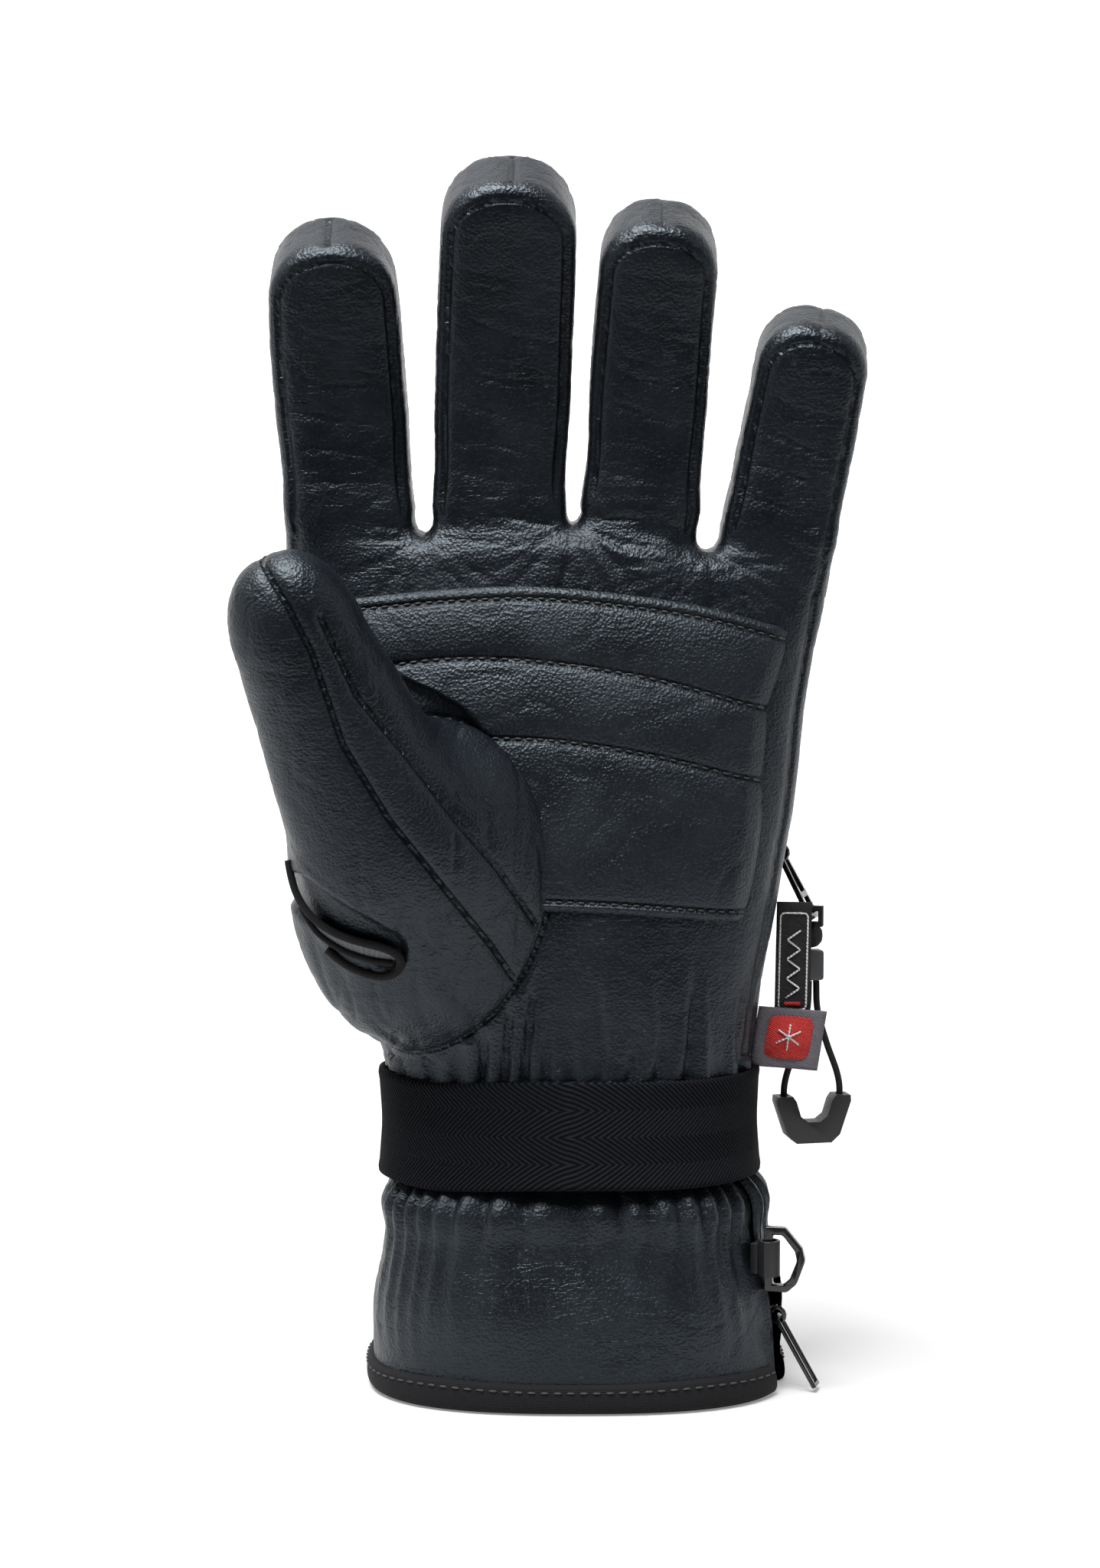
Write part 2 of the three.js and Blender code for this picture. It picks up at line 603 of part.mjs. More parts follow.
// A zip of two tapes under the leather's edges, two rows of teeth and a slider with an eye for its pull.
function makeZip(name, zip, eyeAzimuth) {
  const { degrees, low, high, slider, teeth, tapes } = zip;
  const heights = [low, high];
  add(`${name}_tape_front`, bodyPanel([degrees - tapes[1], degrees - tapes[0]], heights, LAYERS.elastic), zipTape);
  add(`${name}_tape_back`, bodyPanel([degrees + tapes[0], degrees + tapes[1]], heights, LAYERS.elastic), zipTape);
  const stand = new THREE.Group();
  stand.applyMatrix4(zipStand(zip));
  glove.add(stand);
  add(`${name}_teeth_front`, toothRow(teeth, -1).translate(ZIP.above, 0, 2.5), zipTeeth, stand);
  add(`${name}_teeth_back`, toothRow(teeth, 1).translate(ZIP.above, 0, 2.5), zipTeeth, stand);
  const body = new THREE.Group();
  body.position.set(ZIP.above, 0, slider);
  stand.add(body);
  const out = vec(1, 0, 0).transformDirection(stand.matrix);
  const facing = Math.atan2(out.y, out.x);
  add(`${name}_slider`, sliderBody(radians(eyeAzimuth - 90) - facing), blackMetal, body);
  return body;
}

const EYE = { out: 5.2, radius: 1.75, wire: 0.6 };

// The slider: plates over and under the chain, joined between the teeth, and an eye for the pull.
function sliderBody(eyeTurn) {
  const { chain } = ZIP;
  const [top, low] = [chain + GAP, -GAP];
  const [wide, long, plate] = [3.4, 4.2, 0.9];
  const eye = new THREE.TorusGeometry(EYE.radius, EYE.wire, 6, 12).rotateX(Math.PI / 2).rotateZ(eyeTurn);
  return join(
    box(top, top + plate, -wide, wide, -long, long),
    box(low - plate, low, -wide, wide, -long, long),
    box(low - 0.2, top + 0.2, -0.28, 0.28, -long, long),
    box(top + 0.4, EYE.out + 0.3, -0.45, 0.45, EYE.radius - 0.3, EYE.radius + 0.8),
    eye.translate(EYE.out, 0, 0),
  );
}

function makeCuffZip() {
  const azimuth = 75;
  const slider = makeZip("cuff_zip", CUFF_ZIP, azimuth);
  const [wide, bar, long] = [2.4, 0.9, 19];
  const frame = (half, foot) => [...arch(half, -wide + bar / 2, 6), [-half, foot], [half, foot]];
  const pull = flatRing(frame(wide, -long), [frame(wide - bar, -long + bar)], 1);
  add("cuff_zip_pull", pull, blackMetal, hang(slider, [EYE.out, 0, 0], azimuth, 30));
}

// The side pocket's pull: a tapered metal frame with a cross bar, and a cord with a rubber grip on its lower bar.
function makeSideZip() {
  const azimuth = 75;
  const slider = makeZip("side_zip", SIDE_ZIP, azimuth);
  const hung = hang(slider, [EYE.out, 0, 0], azimuth, 28);
  const outline = [[2.4, 0.6], [-2.4, 0.6], [-4.2, -17.6], [4.2, -17.6]];
  const upper = [[1.5, -0.6], [-1.5, -0.6], [-2.5, -10.6], [2.5, -10.6]];
  const lower = [[2.6, -12], [-2.6, -12], [-3, -16.4], [3, -16.4]];
  add("side_zip_pull", flatRing(outline, [upper, lower], 1.1), blackMetal, hung);
  makeCordPull(hang(hung, [0, 0, -17], azimuth, 0));
}

// The cord pull hangs straight down from the frame's lower bar: a textile loop and knot, a clamp, and a cord loop
// whose two strands run down to a U-shaped grip.
function makeCordPull(group) {
  const loopHole = [[1.4, -1.3], [1.4, 1.3], [-1.4, 1.3], [-1.4, -1.3]];
  const front = new THREE.Group();
  front.rotation.z = radians(-62);
  group.add(front);
  const loop = flatRing([[2.4, 2.5], [-2.4, 2.5], [-2.4, -2.4], [2.4, -2.4]], [loopHole], 2);
  const knot = new THREE.SphereGeometry(3, 10, 6).scale(1, 0.8, 1).translate(0, 0, -4.6);
  add("cord_knot", join(loop.rotateZ(Math.PI / 2), knot), blackCloth, group);
  add("cord_clamp", box(-2.3, 2.3, -1.9, 1.9, -15.2, -8), rubber, front);
  const [half, top, foot] = [6.9, -15.2 - GAP, -51.8];
  const leg = [[0.9, top], [1.3, -22.5], [3.6, -30.5], [6.3, -38], [half, -43], [half - 1.2, -48], [half - 3.4, foot + 0.3]];
  const route = new THREE.CatmullRomCurve3([
    ...leg.map(([x, z]) => vec(-x, 0, z)), vec(0, 0, foot), ...leg.reverse().map(([x, z]) => vec(x, 0, z)),
  ]);
  const tube = (radius) => {
    const round = new THREE.Shape().absarc(0, 0, radius, 0, 2 * Math.PI);
    return new THREE.ExtrudeGeometry(round, { steps: 26, curveSegments: 4, extrudePath: route, bevelEnabled: false });
  };
  add("cord_loop", tube(0.8), blackCloth, front);
  const arm = [[4.3, -54.3], [6.4, -52.4], [9.1, -44.4], [9, -43], [5.3, -42.9], [4.4, -44.2], [3.3, -47.8], [1.5, -49.2]];
  const grip = [...arm, ...arm.map(([x, z]) => [-x, z]).reverse()];
  add("cord_grip", cut(flatRing(grip, [], 5), tube(0.8 + GAP)), rubber, front);
}

// The keeper tube on the cuff above the zip, and the angular ring that swings in it.
function makeKeeper() {
  const keeper = new THREE.Group();
  keeper.position.set(51.6, -15.6, 32.8);
  glove.add(keeper);
  const [inner, outer, height] = [1.7, 2.6, 8.5];
  const tube = new THREE.LatheGeometry(
    [[inner, 0], [outer, 0], [outer, height], [inner, height], [inner, 0]].map(([r, z]) => new THREE.Vector2(r, z)),
    12,
  );
  const tab = box(-3.7, -1.9, -2.6, 2.6, 0.6, height - 0.6).rotateZ(radians(-27));
  add("ring_keeper", join(tube.rotateX(Math.PI / 2), tab), rubber, keeper);
  const outline = [[-1, -3.6], [-1, 11.8], [3.8, 11.8], [7.9, 6.9], [8.6, 4], [6.6, -1.6], [4.4, -3.6]];
  const hole = [[0.9, -1.8], [0.9, 9.9], [3.3, 9.9], [6.2, 6.2], [6.7, 3.9], [5, -0.4], [3.6, -1.8]];
  const turn = new THREE.Group();
  turn.rotation.z = radians(-12);
  keeper.add(turn);
  add("clip_ring", flatRing(outline, [hole], 1.9), blackMetal, turn);
}

// Two woven labels sewn into the side seam: a flat flag, and a folded loop under it.
function makeLabels() {
  add("label_black", box(0, 8.3, -0.35, 0.35, 0, 27).rotateY(radians(1)).translate(53.3, -1.6, 92.3), labelBlack);
  const fold = [[-0.7, 0], [-0.7, 14], [-0.2, 14], [-0.2, 0.6], [0.2, 0.6], [0.2, 14], [0.7, 14], [0.7, 0]];
  const lean = (x, y, z) => vec(x - 0.16 * (14 - z), y, z - 0.08 * (x - 8));
  const label = sweep(fold, [0, 1], (t, y, z) => lean(mix(0, 16, t), y, z));
  add("label_grey", label.translate(49.6, -3.2, 80), labelGrey);
}

makeHand();
makeWebs();
makePatch();
makeCuff();
makeStrap();
for (const [name, finger] of Object.entries(FINGERS)) makeFinger(name, finger);
makeThumb();
makeCuffZip();
makeSideZip();
makeKeeper();
makeLabels();

// The origin is under the middle of the glove's box, on the ground; the cord's pieces are left out of the box.
glove.updateMatrixWorld(true);
const extent = new THREE.Box3();
glove.traverse((node) => {
  if (node.isMesh && !node.name.startsWith("cord_")) extent.expandByObject(node, true);
});
const middle = extent.getCenter(vec(0, 0, 0));
glove.position.set(-middle.x, -middle.y, -extent.min.z);
const part = new THREE.Group();
part.add(glove);

export default part;
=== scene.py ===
import json
import math

import bpy
import numpy as np
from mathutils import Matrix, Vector


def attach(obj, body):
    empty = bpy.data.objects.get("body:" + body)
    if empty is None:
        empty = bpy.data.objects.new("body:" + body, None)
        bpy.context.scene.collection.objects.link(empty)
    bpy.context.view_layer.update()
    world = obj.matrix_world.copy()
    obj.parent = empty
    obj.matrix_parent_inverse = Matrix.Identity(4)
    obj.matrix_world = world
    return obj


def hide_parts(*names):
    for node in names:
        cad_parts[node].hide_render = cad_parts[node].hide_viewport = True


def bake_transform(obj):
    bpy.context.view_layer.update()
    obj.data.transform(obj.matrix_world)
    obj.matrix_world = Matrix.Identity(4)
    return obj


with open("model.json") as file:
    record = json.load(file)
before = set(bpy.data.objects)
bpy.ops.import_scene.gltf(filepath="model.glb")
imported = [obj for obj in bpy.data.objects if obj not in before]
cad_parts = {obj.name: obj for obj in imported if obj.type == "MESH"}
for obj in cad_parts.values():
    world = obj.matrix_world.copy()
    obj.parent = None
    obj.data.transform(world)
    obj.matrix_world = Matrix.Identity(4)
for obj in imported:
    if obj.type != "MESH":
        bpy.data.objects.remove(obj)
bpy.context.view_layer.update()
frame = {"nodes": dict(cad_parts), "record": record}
BEHAVIOUR = frame["record"]["behaviour"]
JOINTS = {joint["name"]: joint for joint in BEHAVIOUR["joints"]}
NODE_BODIES = {node: body for body, nodes in BEHAVIOUR["bodies"].items() for node in nodes}

# ---------------------------------------------------------------- driving dimensions
ROUNDNESS = 2.6
# Sections of the hand and cuff: height, half width, half depth, centre x, centre y.
BODY = np.array([
    [0, 48, 35, 6.9, 0],
    [27, 46.2, 33, 5.4, 0],
    [52, 42.8, 28.5, 4.8, 0],
    [68, 41.6, 26.6, 4.8, 0],
    [84, 42.5, 25.5, 4.6, 0],
    [100, 47, 25, 2.2, -1],
    [118, 53, 24, -0.2, -2],
    [140, 57, 22.5, -0.4, -2],
    [165, 59.5, 20.5, -0.4, -1.5],
    [188, 61.6, 17, 1.7, -0.5],
    [214, 61.5, 13.2, 3.2, 0],
])
# Each finger: hinge, lean in degrees, length, widths and depths at root and tip, curl in degrees.
FINGERS = {
    "index": ((-46.6, 0, 215), -3.6, 62, (29.6, 28), (25, 22), 24),
    "middle": ((-11.3, 0, 216), 2.2, 75.5, (30.6, 29.4), (25.4, 22.4), 25),
    "ring": ((21.4, 0, 216), 4.4, 65.5, (27.2, 25.2), (24.6, 21.6), 24),
    "little": ((54.3, 0, 209.5), 10.6, 48, (26.6, 24), (23, 20), 20),
}
THUMB_ROOT = np.array([-40.0, -35, 146])
THUMB_TIP = np.array([-62.3, -50, 202])
THUMB_WIDTH = (20, 14.6)
THUMB_DEPTH = (15, 12.4)
# The share of the thumb's length where its tip starts to round off.
THUMB_ROUNDS_AT = 0.66
GUSSET_CENTRE = (-27.5, -19, 126)
GUSSET_RADII = (29.3, 18.5, 38.2)
GUSSET_LEAN = 0.22
STRAP_Z = (55.5, 80.5)
HEM_Z = 4.7
HEM_HEIGHT = 7.2
OFFSET = np.array(JOINTS["index_flex"]["pos_m"]) * 1000 - FINGERS["index"][0]


def to_row(points):
    return (np.asarray(points, float) + OFFSET) / 1000


# ---------------------------------------------------------------- camera and light
CAMERA_AT = (0.3, -900, 240)
CAMERA_AIM = (0.3, 0, 147)


def placed(name, data):
    """A new object in the scene."""
    made = bpy.data.objects.new(name, data)
    bpy.context.collection.objects.link(made)
    return made


def make_camera():
    data = bpy.data.cameras.new("camera")
    data.lens = 88.3
    data.sensor_width = 36
    data.clip_end = 20
    camera = placed("camera", data)
    eye = Vector(to_row(CAMERA_AT))
    target = Vector(to_row(CAMERA_AIM))
    camera.location = eye
    camera.rotation_euler = (target - eye).to_track_quat("-Z", "Y").to_euler()
    bpy.context.scene.camera = camera


make_camera()


# ---------------------------------------------------------------- numbers on arrays of points
def smoothstep(value, low, high):
    t = np.clip((value - low) / (high - low), 0, 1)
    return t * t * (3 - 2 * t)


def smooth_min(a, b, reach):
    h = np.clip(0.5 + 0.5 * (b - a) / reach, 0, 1)
    return b + (a - b) * h - reach * h * (1 - h)


def smooth_max(a, b, reach):
    return -smooth_min(-a, -b, reach)


def bump(value, width):
    """A rounded hill: 1 at 0 and next to nothing beyond twice the width."""
    return np.exp(-((value / width) ** 2))


class Ripples:
    """Smooth seeded noise of about -1 to 1 on points. scale is its wavelength in mm along each axis."""

    def __init__(self, seed, scale, count=14):
        random = np.random.default_rng(seed)
        direction = random.normal(size=(count, 3))
        direction /= np.linalg.norm(direction, axis=1)[:, None]
        self.waves = direction * random.uniform(0.7, 1.6, (count, 1)) * 2 * np.pi / np.asarray(scale, float)
        self.phase = random.uniform(0, 2 * np.pi, count)

    def __call__(self, points):
        total = sum(np.sin(points @ wave + phase) for wave, phase in zip(self.waves, self.phase))
        return total / math.sqrt(len(self.phase) * 0.8)


def around_only(values):
    """Points that differ along the first axis only."""
    return np.stack([values, values * 0, values * 0], -1)


def creases(noise, sharpness=5):
    """Thin valleys, 0 to -1, where the noise passes through 0."""
    return -np.clip(1 - np.abs(noise), 0, 1) ** sharpness


# ---------------------------------------------------------------- the glove's surface as a distance in mm
def smooth_table(table, span=9):
    """The table's columns on every millimetre of its first one, with its corners rounded off."""
    levels = np.arange(table[0, 0] - 30, table[-1, 0] + 31)
    weights = np.hanning(span + 2)[1:-1]
    weights /= weights.sum()
    columns = [np.interp(levels, table[:, 0], table[:, k]) for k in range(1, table.shape[1])]
    return levels, [np.convolve(np.pad(c, span // 2, mode="edge"), weights, "valid") for c in columns]


LEVELS, SECTIONS = smooth_table(BODY)


def section(z):
    return [np.interp(z, LEVELS, column) for column in SECTIONS]


def body_point(degrees, z, out=0.0):
    """A point of the hand and cuff: degrees round it (-90 the palm, 0 the little-finger side) and height."""
    a, b, x, y = section(z)
    angle = np.radians(degrees)
    cosine, sine = np.cos(angle), np.sin(angle)
    px = x + (a + out) * np.sign(cosine) * np.abs(cosine) ** (2 / ROUNDNESS)
    py = y + (b + out) * np.sign(sine) * np.abs(sine) ** (2 / ROUNDNESS)
    return np.stack(np.broadcast_arrays(px, py, z), -1).astype(float)


def body_distance(x, y, z):
    a, b, cx, cy = section(z)
    u = np.abs(x - cx) / a + 1e-6
    v = np.abs(y - cy) / b + 1e-6
    r = (u**ROUNDNESS + v**ROUNDNESS) ** (1 / ROUNDNESS)
    steep = np.hypot((u / r) ** (ROUNDNESS - 1) / a, (v / r) ** (ROUNDNESS - 1) / b)
    return (r - 1) / steep


def hand_top(x):
    """Where the hand's leather ends between the fingers, lower by the little finger."""
    return np.interp(x, [-60, -29, 6, 37, 66], [205, 205, 207, 201, 199])


def finger_frame(name, x, y, z):
    """Points in a finger's own frame: across, deep (towards the back of the hand) and up from the hinge."""
    hinge, lean, length, _, _, curl = FINGERS[name]
    lean = math.radians(lean)
    dx, dy, dz = x - hinge[0], y - hinge[1], z - hinge[2]
    across = dx * math.cos(lean) - dz * math.sin(lean)
    up = dx * math.sin(lean) + dz * math.cos(lean)
    bend = math.radians(curl) / length
    turn = np.arctan2(np.maximum(up, 0), dy + 1 / bend)
    deep = np.where(up > 0, np.hypot(np.maximum(up, 0), dy + 1 / bend) - 1 / bend, dy)
    return across, deep, np.where(up > 0, turn / bend, up)


def finger_outline(name, across, along):
    """Distance to the finger's outline as seen from its palm side."""
    _, _, length, width, _, _ = FINGERS[name]
    share = np.clip(along / length, 0, 1)
    # A finger is widest at its middle and narrows a little to the root.
    half = width[0] / 2 + (width[1] - width[0]) / 2 * share - 0.8 * bump(along - 4, 12)
    half = half - 0.16 * np.maximum(-along - 4, 0)
    tip = width[1] / 2
    over = np.maximum(along - (length - tip), 0)
    power = 2.25
    # Far below the hinge half runs negative, and the rounded tip isn't used there.
    wide = (np.abs(across) / np.maximum(half, 1)) ** power
    round_part = (wide + (over / tip) ** power + 1e-9) ** (1 / power)
    return np.where(over > 0, (round_part - 1) * tip, np.abs(across) - half)


def finger_distance(name, x, y, z):
    across, deep, along = finger_frame(name, x, y, z)
    _, _, length, _, depth, _ = FINGERS[name]
    share = np.clip(along / length, 0, 1)
    half_depth = depth[0] / 2 + (depth[1] - depth[0]) / 2 * share - 0.2 * np.maximum(-along - 4, 0)
    side = finger_outline(name, across, along)
    corner = 5.2
    a = np.maximum(side + corner, 0)
    b = np.maximum(np.abs(deep) - half_depth + corner, 0)
    power = 2.5
    outside = (a**power + b**power + 1e-9) ** (1 / power)
    inside = np.minimum(np.maximum(side + corner, np.abs(deep) - half_depth + corner), 0)
    return outside + inside - corner


def thumb_frame(x, y, z):
    """Points in the thumb's own frame: across, deep and up from its root."""
    up = (THUMB_TIP - THUMB_ROOT) / np.linalg.norm(THUMB_TIP - THUMB_ROOT)
    across = np.array([up[2], 0, -up[0]]) / math.hypot(up[2], up[0])
    deep = np.cross(up, across)
    d = np.stack([x - THUMB_ROOT[0], y - THUMB_ROOT[1], z - THUMB_ROOT[2]], -1)
    return d @ across, d @ deep, d @ up


def thumb_distance(x, y, z):
    across, deep, up = thumb_frame(x, y, z)
    length = np.linalg.norm(THUMB_TIP - THUMB_ROOT)
    share = np.clip(up / length, -0.5, THUMB_ROUNDS_AT) / THUMB_ROUNDS_AT
    a = THUMB_WIDTH[0] + (THUMB_WIDTH[1] - THUMB_WIDTH[0]) * share
    b = THUMB_DEPTH[0] + (THUMB_DEPTH[1] - THUMB_DEPTH[0]) * share
    over = np.maximum(up - THUMB_ROUNDS_AT * length, 0) / ((1 - THUMB_ROUNDS_AT) * length)
    under = np.maximum(-up - 6, 0) / 24
    power = 2.2
    parts = (np.abs(across) / a, np.abs(deep) / b, over, under)
    r = (sum(part**power for part in parts) + 1e-9) ** (1 / power)
    return (r - 1) * b * 0.95


def gusset_distance(x, y, z):
    """The padded bulge that joins the thumb to the palm."""
    dx, dy, dz = (value - middle for value, middle in zip((x, y, z), GUSSET_CENTRE))
    cosine, sine = math.cos(GUSSET_LEAN), math.sin(GUSSET_LEAN)
    turned = np.stack([dx * cosine - dz * sine, dy, dx * sine + dz * cosine], -1)
    radii = np.array(GUSSET_RADII)
    near = np.linalg.norm(turned / radii, axis=-1) + 1e-6
    return near * (near - 1) / np.maximum(np.linalg.norm(turned / radii**2, axis=-1), 1e-6)


def skin_distance(points):
    """The distance from the glove's leather surface, above the wrist."""
    x, y, z = points[..., 0], points[..., 1], points[..., 2]
    hand = smooth_max(body_distance(x, y, z), z - hand_top(x), 6)
    thumb = smooth_min(gusset_distance(x, y, z), thumb_distance(x, y, z), 13)
    # The thumb and its gusset grow out of the palm below, and only rest against it further up.
    reach = 8 - 7.3 * smoothstep(z, 100, 150)
    hand = smooth_min(hand, thumb, reach)
    if z.max() < 188:
        return hand
    fingers = None
    for name in FINGERS:
        one = finger_distance(name, x, y, z)
        one = np.maximum(one, FINGERS[name][0][2] - 26 - z)
        fingers = one if fingers is None else np.minimum(fingers, one)
    return smooth_min(hand, fingers, 5.5)


# ---------------------------------------------------------------- a mesh from the distance
def surface_nets(distance, low, high, step):
    """A closed quad mesh of distance = 0 in a box, with one point in each cell that the surface crosses."""
    axes = [np.arange(low[k], high[k] + step, step) for k in range(3)]
    field = np.empty([len(axis) for axis in axes], np.float32)
    for k in range(0, len(axes[2]), 12):
        grid = np.stack(np.meshgrid(axes[0], axes[1], axes[2][k : k + 12], indexing="ij"), -1)
        field[:, :, k : k + 12] = distance(grid)
    shape = np.array(field.shape)
    strides = np.array([shape[1] * shape[2], shape[2], 1])
    flat = field.ravel()
    cells, places, quads = [], [], []
    for axis in range(3):
        first = np.take(field, range(shape[axis] - 1), axis)
        second = np.take(field, range(1, shape[axis]), axis)
        edge = np.argwhere((first < 0) != (second < 0))
        index = edge @ strides
        f0, f1 = flat[index], flat[index + strides[axis]]
        point = edge.astype(float)
        point[:, axis] += f0 / (f0 - f1)
        b, c = strides[(axis + 1) % 3], strides[(axis + 2) % 3]
        around = np.stack([index, index - b, index - b - c, index - c], 1)
        around[f0 >= 0] = around[f0 >= 0][:, ::-1]
        quads.append(around)
        cells.append(around.ravel())
        places.append(np.repeat(point, 4, axis=0))
    cells = np.concatenate(cells)
    inverse = np.unique(cells, return_inverse=True)[1]
    places = np.concatenate(places)
    count = np.bincount(inverse)
    vertices = np.stack([np.bincount(inverse, places[:, k]) / count for k in range(3)], 1) * step + low
    faces = inverse.reshape(-1, 4)
    return vertices, faces


def gradient(distance, points, step=0.4):
    result = np.empty_like(points)
    for k in range(3):
        shift = np.zeros(3)
        shift[k] = step
        result[:, k] = distance(points + shift) - distance(points - shift)
    return result / (2 * step)


def settle(distance, points, rounds=2):
    """Moves points onto distance = 0."""
    for _ in range(rounds):
        slope = gradient(distance, points)
        points = points - slope * (distance(points) / np.maximum((slope**2).sum(1), 0.05))[:, None]
    return points


def skin_facing(points):
    """The way the skin faces at points on it."""
    slope = gradient(skin_distance, points)
    return slope / np.linalg.norm(slope, axis=1)[:, None]


def vertex_normals(vertices, faces):
    a, b = vertices[faces[:, 2]] - vertices[faces[:, 0]], vertices[faces[:, 3]] - vertices[faces[:, 1]]
    face_normals = np.cross(a, b)
    normals = np.zeros_like(vertices)
    for corner in range(4):
        for k in range(3):
            normals[:, k] += np.bincount(faces[:, corner], face_normals[:, k], len(vertices))
    return normals / np.maximum(np.linalg.norm(normals, axis=1), 1e-12)[:, None]


def build(name, vertices, faces, material, normals=None, **attributes):
    """A smooth mesh object from points in mm, with one float or vector attribute for each array given."""
    mesh = bpy.data.meshes.new(name)
    mesh.from_pydata(to_row(vertices).tolist(), [], faces.tolist() if hasattr(faces, "tolist") else faces)
    mesh.polygons.foreach_set("use_smooth", np.ones(len(mesh.polygons), bool))
    attributes.setdefault("rest", vertices)
    for key, values in attributes.items():
        values = np.asarray(values, np.float32)
        if values.ndim == 2:
            mesh.attributes.new(key, "FLOAT_VECTOR", "POINT").data.foreach_set("vector", values.ravel())
        else:
            mesh.attributes.new(key, "FLOAT", "POINT").data.foreach_set("value", values)
    if normals is not None:
        mesh.normals_split_custom_set_from_vertices(normals.tolist())
    mesh.materials.append(material)
    return placed(name, mesh)


# ---------------------------------------------------------------- materials
class Shader:
    """A node material, built up by short calls."""

    def __init__(self, name, color, roughness, coat=0.0, specular=0.5):
        self.material = bpy.data.materials.new(name)
        self.material.use_nodes = True
        self.tree = self.material.node_tree
        self.surface = self.tree.nodes["Principled BSDF"]
        self.surface.inputs["Base Color"].default_value = (*color, 1)
        self.surface.inputs["Roughness"].default_value = roughness
        self.surface.inputs["Coat Weight"].default_value = coat
        self.surface.inputs["Specular IOR Level"].default_value = specular

    def node(self, kind, out=0, **inputs):
        """A node with its inputs set or linked by name, and its properties set by name in lower case."""
        made = self.tree.nodes.new("ShaderNode" + kind)
        for key, value in inputs.items():
            if key.islower() and hasattr(made, key):
                setattr(made, key, value)
        for key, value in inputs.items():
            if key.islower() and hasattr(made, key):
                continue
            socket = made.inputs[int(key[1:])] if key[1:].isdigit() else made.inputs[key.replace("_", " ")]
            if isinstance(value, bpy.types.NodeSocket):
                self.tree.links.new(value, socket)
            else:
                socket.default_value = value
        return made.outputs[out]

    def math(self, operation, a, b=0.0, c=0.0):
        return self.node("Math", operation=operation, i0=a, i1=b, i2=c)

    def product(self, a, b):
        return self.math("MULTIPLY", a, b)

    def scaled_sum(self, a, b, c):
        """a times b, plus c."""
        return self.math("MULTIPLY_ADD", a, b, c)

    def wave(self, value, pitch):
        """A sine with one turn for each pitch of value."""
        return self.math("SINE", self.product(value, 2 * math.pi / pitch))

    def attribute(self, name, out="Fac"):
        return self.node("Attribute", out, attribute_name=name)

    def rest(self):
        return self.attribute("rest", "Vector")

    def noise(self, vector, scale, detail=3.0):
        return self.node("TexNoise", "Fac", Vector=vector, Scale=scale, Detail=detail)

    def ramp(self, value, low, high, start, end):
        return self.node("MapRange", From_Min=low, From_Max=high, To_Min=start, To_Max=end, Value=value)

    def bump(self, height, strength=1.0):
        """Bumps the surface by a height in mm."""
        height = self.product(height, 0.001)
        normal = self.node("Bump", Height=height, Strength=strength, Distance=1.0)
        self.tree.links.new(normal, self.surface.inputs["Normal"])

    def color(self, value, dark, light):
        mixed = self.node("Mix", 2, data_type="RGBA", Factor=value, A=(*dark, 1), B=(*light, 1))
        self.tree.links.new(mixed, self.surface.inputs["Base Color"])

    def roughness(self, value):
        self.tree.links.new(value, self.surface.inputs["Roughness"])


def make_leather(name, dark, light, roughness, grain=0.16, wrinkles=0.06):
    """Grained leather, wrinkled in places. The seam attribute, mm from the nearest seam, draws its groove and
    darkens the colour along it as painted shade.
    """
    shader = Shader(name, light, roughness, specular=0.44)
    rest = shader.rest()
    pebbles = shader.node("TexVoronoi", "Distance", Vector=rest, Scale=1.35)
    fine = shader.noise(rest, 2.2, 4.0)
    broad = shader.noise(rest, 0.07, 4.0)
    seam = shader.attribute("seam")
    groove = shader.ramp(seam, 0.0, 0.8, -0.75, 0.0)
    height = shader.scaled_sum(pebbles, grain, groove)
    height = shader.scaled_sum(fine, grain * 0.9, height)
    stretched = shader.node("VectorMath", operation="MULTIPLY", i0=rest, i1=(0.15, 0.15, 0.62))
    wave = shader.math("ABSOLUTE", shader.math("SUBTRACT", shader.noise(stretched, 1.0, 2.0), 0.5))
    line = shader.ramp(wave, 0.0, 0.06, -wrinkles, 0.0)
    worn = shader.ramp(shader.noise(rest, 0.045, 2.0), 0.42, 0.58, 0.15, 1.0)
    height = shader.scaled_sum(line, worn, height)
    shader.bump(height, 0.9)
    # Painted shade: the colour darkens along each seam's groove, where shade would fall.
    seam_shade_mask = shader.ramp(seam, 0.3, 1.1, 0.0, 1.0)
    shader.color(shader.product(seam_shade_mask, shader.ramp(broad, 0.3, 0.7, 0.25, 1.0)), dark, light)
    shader.roughness(shader.ramp(broad, 0.3, 0.7, roughness - 0.06, roughness + 0.08))
    shader.surface.inputs["Specular Tint"].default_value = (0.78, 0.9, 1.0, 1)
    return shader.material


leather = make_leather("leather", (0.002, 0.0027, 0.004), (0.0056, 0.0073, 0.0104), 0.38)
patch_leather = make_leather(
    "patch leather", (0.0025, 0.0032, 0.0045), (0.0095, 0.012, 0.0155), 0.4, grain=0.2, wrinkles=0.02
)


# ---------------------------------------------------------------- the leather skin
# Seams as lines of x, z on the palm side: the thumb's two long seams and the one round its gusset.
THUMB_SEAM_OUTER = [
    (-64, 203), (-57.1, 192), (-52.1, 182), (-45.5, 161), (-35.5, 144), (-27.1, 133), (-13.4, 114), (-8, 105)
]
THUMB_SEAM_INNER = [
    (-50, 190), (-47.5, 184), (-42.2, 172), (-32.1, 159), (-20.2, 143), (-11.7, 132), (-3, 118)
]
SLOT_MIDDLE = [(-56, 126), (-50, 121.5), (-43, 117.5), (-36.5, 113.5)]
